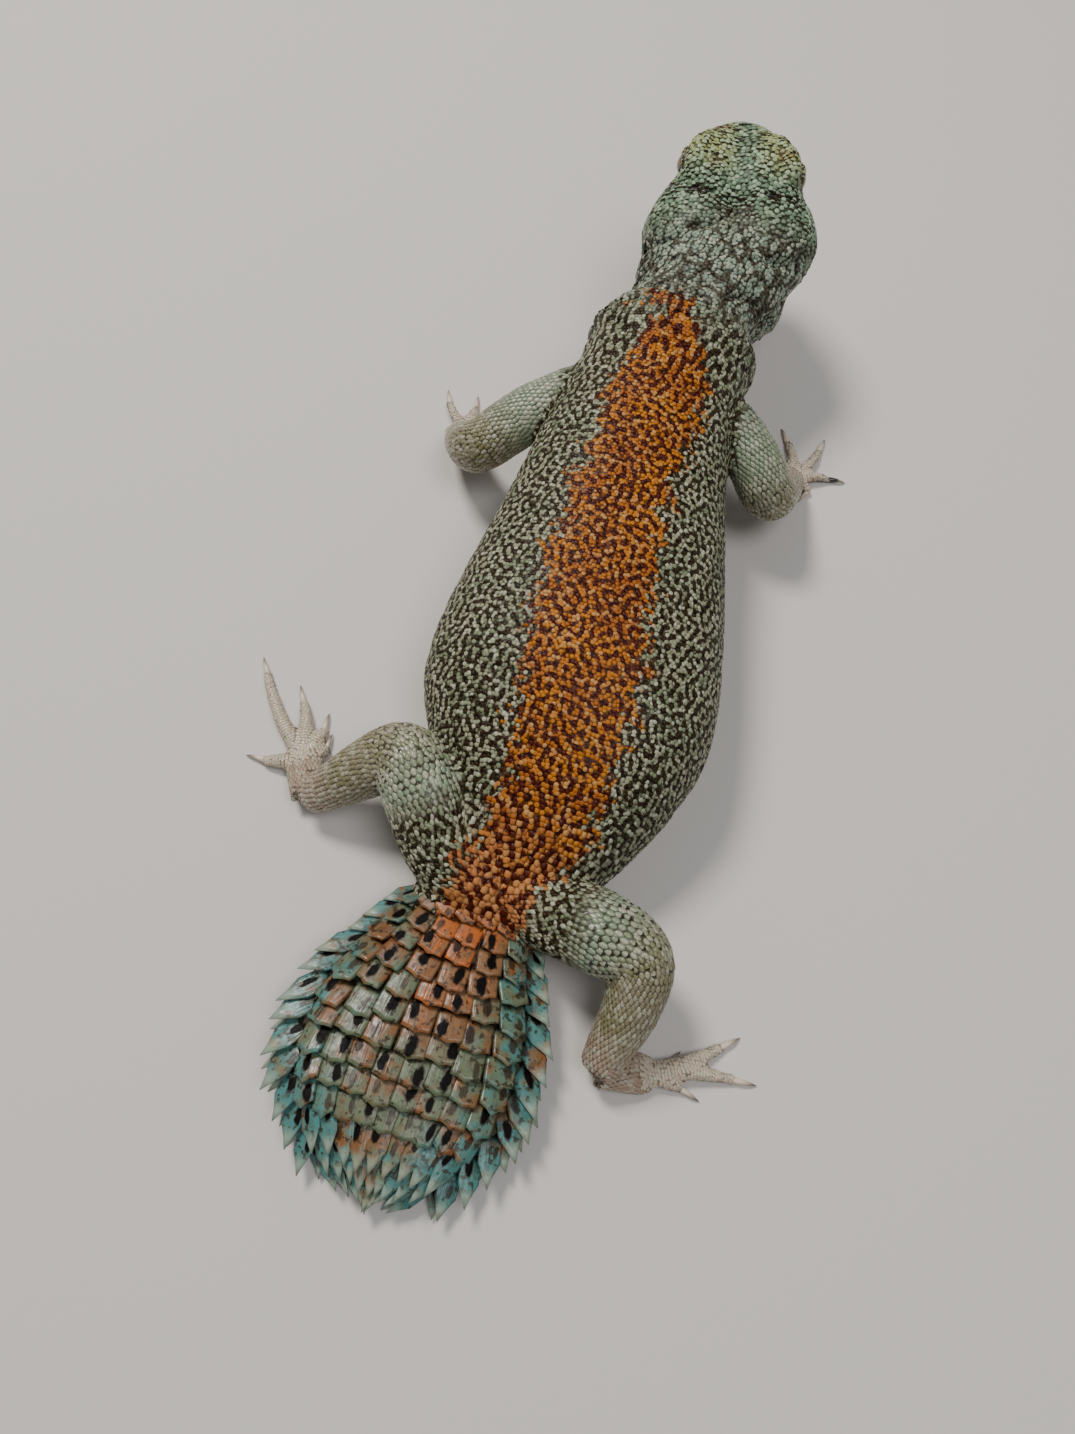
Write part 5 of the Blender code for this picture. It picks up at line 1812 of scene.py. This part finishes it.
def add_light(name, place, size, power, colour):
    data = bpy.data.lights.new(name, "AREA")
    data.shape = "DISK"
    data.size = size
    data.energy = power
    data.color = colour
    lamp = link_object(name, data)
    lamp.location = place
    lamp.rotation_euler = (Vector((0, 0, 0.02)) - Vector(place)).to_track_quat("-Z", "Y").to_euler()


def set_stage():
    """A pale floor and soft light from above, stronger from the front left."""
    mesh = bpy.data.meshes.new("floor")
    mesh.from_pydata([(-3, -3, 0), (3, -3, 0), (3, 3, 0), (-3, 3, 0)], [], [(0, 1, 2, 3)])
    floor = link_object("floor", mesh)
    mesh.materials.append(floor_material())
    world = bpy.data.worlds.new("soft_room")
    world.use_nodes = True
    world.node_tree.nodes["Background"].inputs["Color"].default_value = (0.93, 0.96, 1.0, 1.0)
    world.node_tree.nodes["Background"].inputs["Strength"].default_value = 0.26
    bpy.context.scene.world = world
    add_light("window", (-0.45, 0.30, 0.80), 0.26, 9.0, (1.0, 0.98, 0.94))
    add_light("ceiling", (0.30, -0.15, 0.95), 0.5, 4.5, (0.96, 0.98, 1.0))


def main():
    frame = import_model()
    low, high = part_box("eye_left")
    shift = (Vector(low) + Vector(high)) / 2 / MM - eye_centre(-1)
    draw = random.Random(COAT_SEED)
    skin = make_skin()
    coat = Coat(skin)
    clothe_head(coat, skin, draw)
    clothe_trunk(coat, draw)
    clothe_tail_core(coat)
    clothe_legs(coat, draw)
    clothe_gaps(coat, skin)
    paint_skin(skin, coat)
    tree = coat_tree()
    scale_paint = hide_material("scaly_hide", 0.0)
    skin_paint = hide_material("soft_skin_between_scales", 0.8)
    horn = tail_material()
    pieces = dress(coat, tree, scale_paint, draw)
    tail_pieces = dress_tail(tree, horn, draw)
    skin.data.materials.clear()
    skin.data.materials.append(skin_paint)
    skin.data.shade_smooth()
    flesh = [n for n in frame["nodes"] if not n.startswith("eye_")]
    settle_in_frame(skin, shift, flesh)
    for piece in pieces:
        on_leg = "fore" in piece.name or "hind" in piece.name
        settle_in_frame(piece, shift)
    for piece in tail_pieces:
        settle_in_frame(piece, shift)
    eye_paint = eye_material()
    for side, name in ((-1, "eye_left"), (1, "eye_right")):
        settle_in_frame(make_eye(side, eye_paint), shift, [name])
    settle_in_frame(make_claws(claw_material()), shift)
    set_stage()
    set_camera(shift)


main()
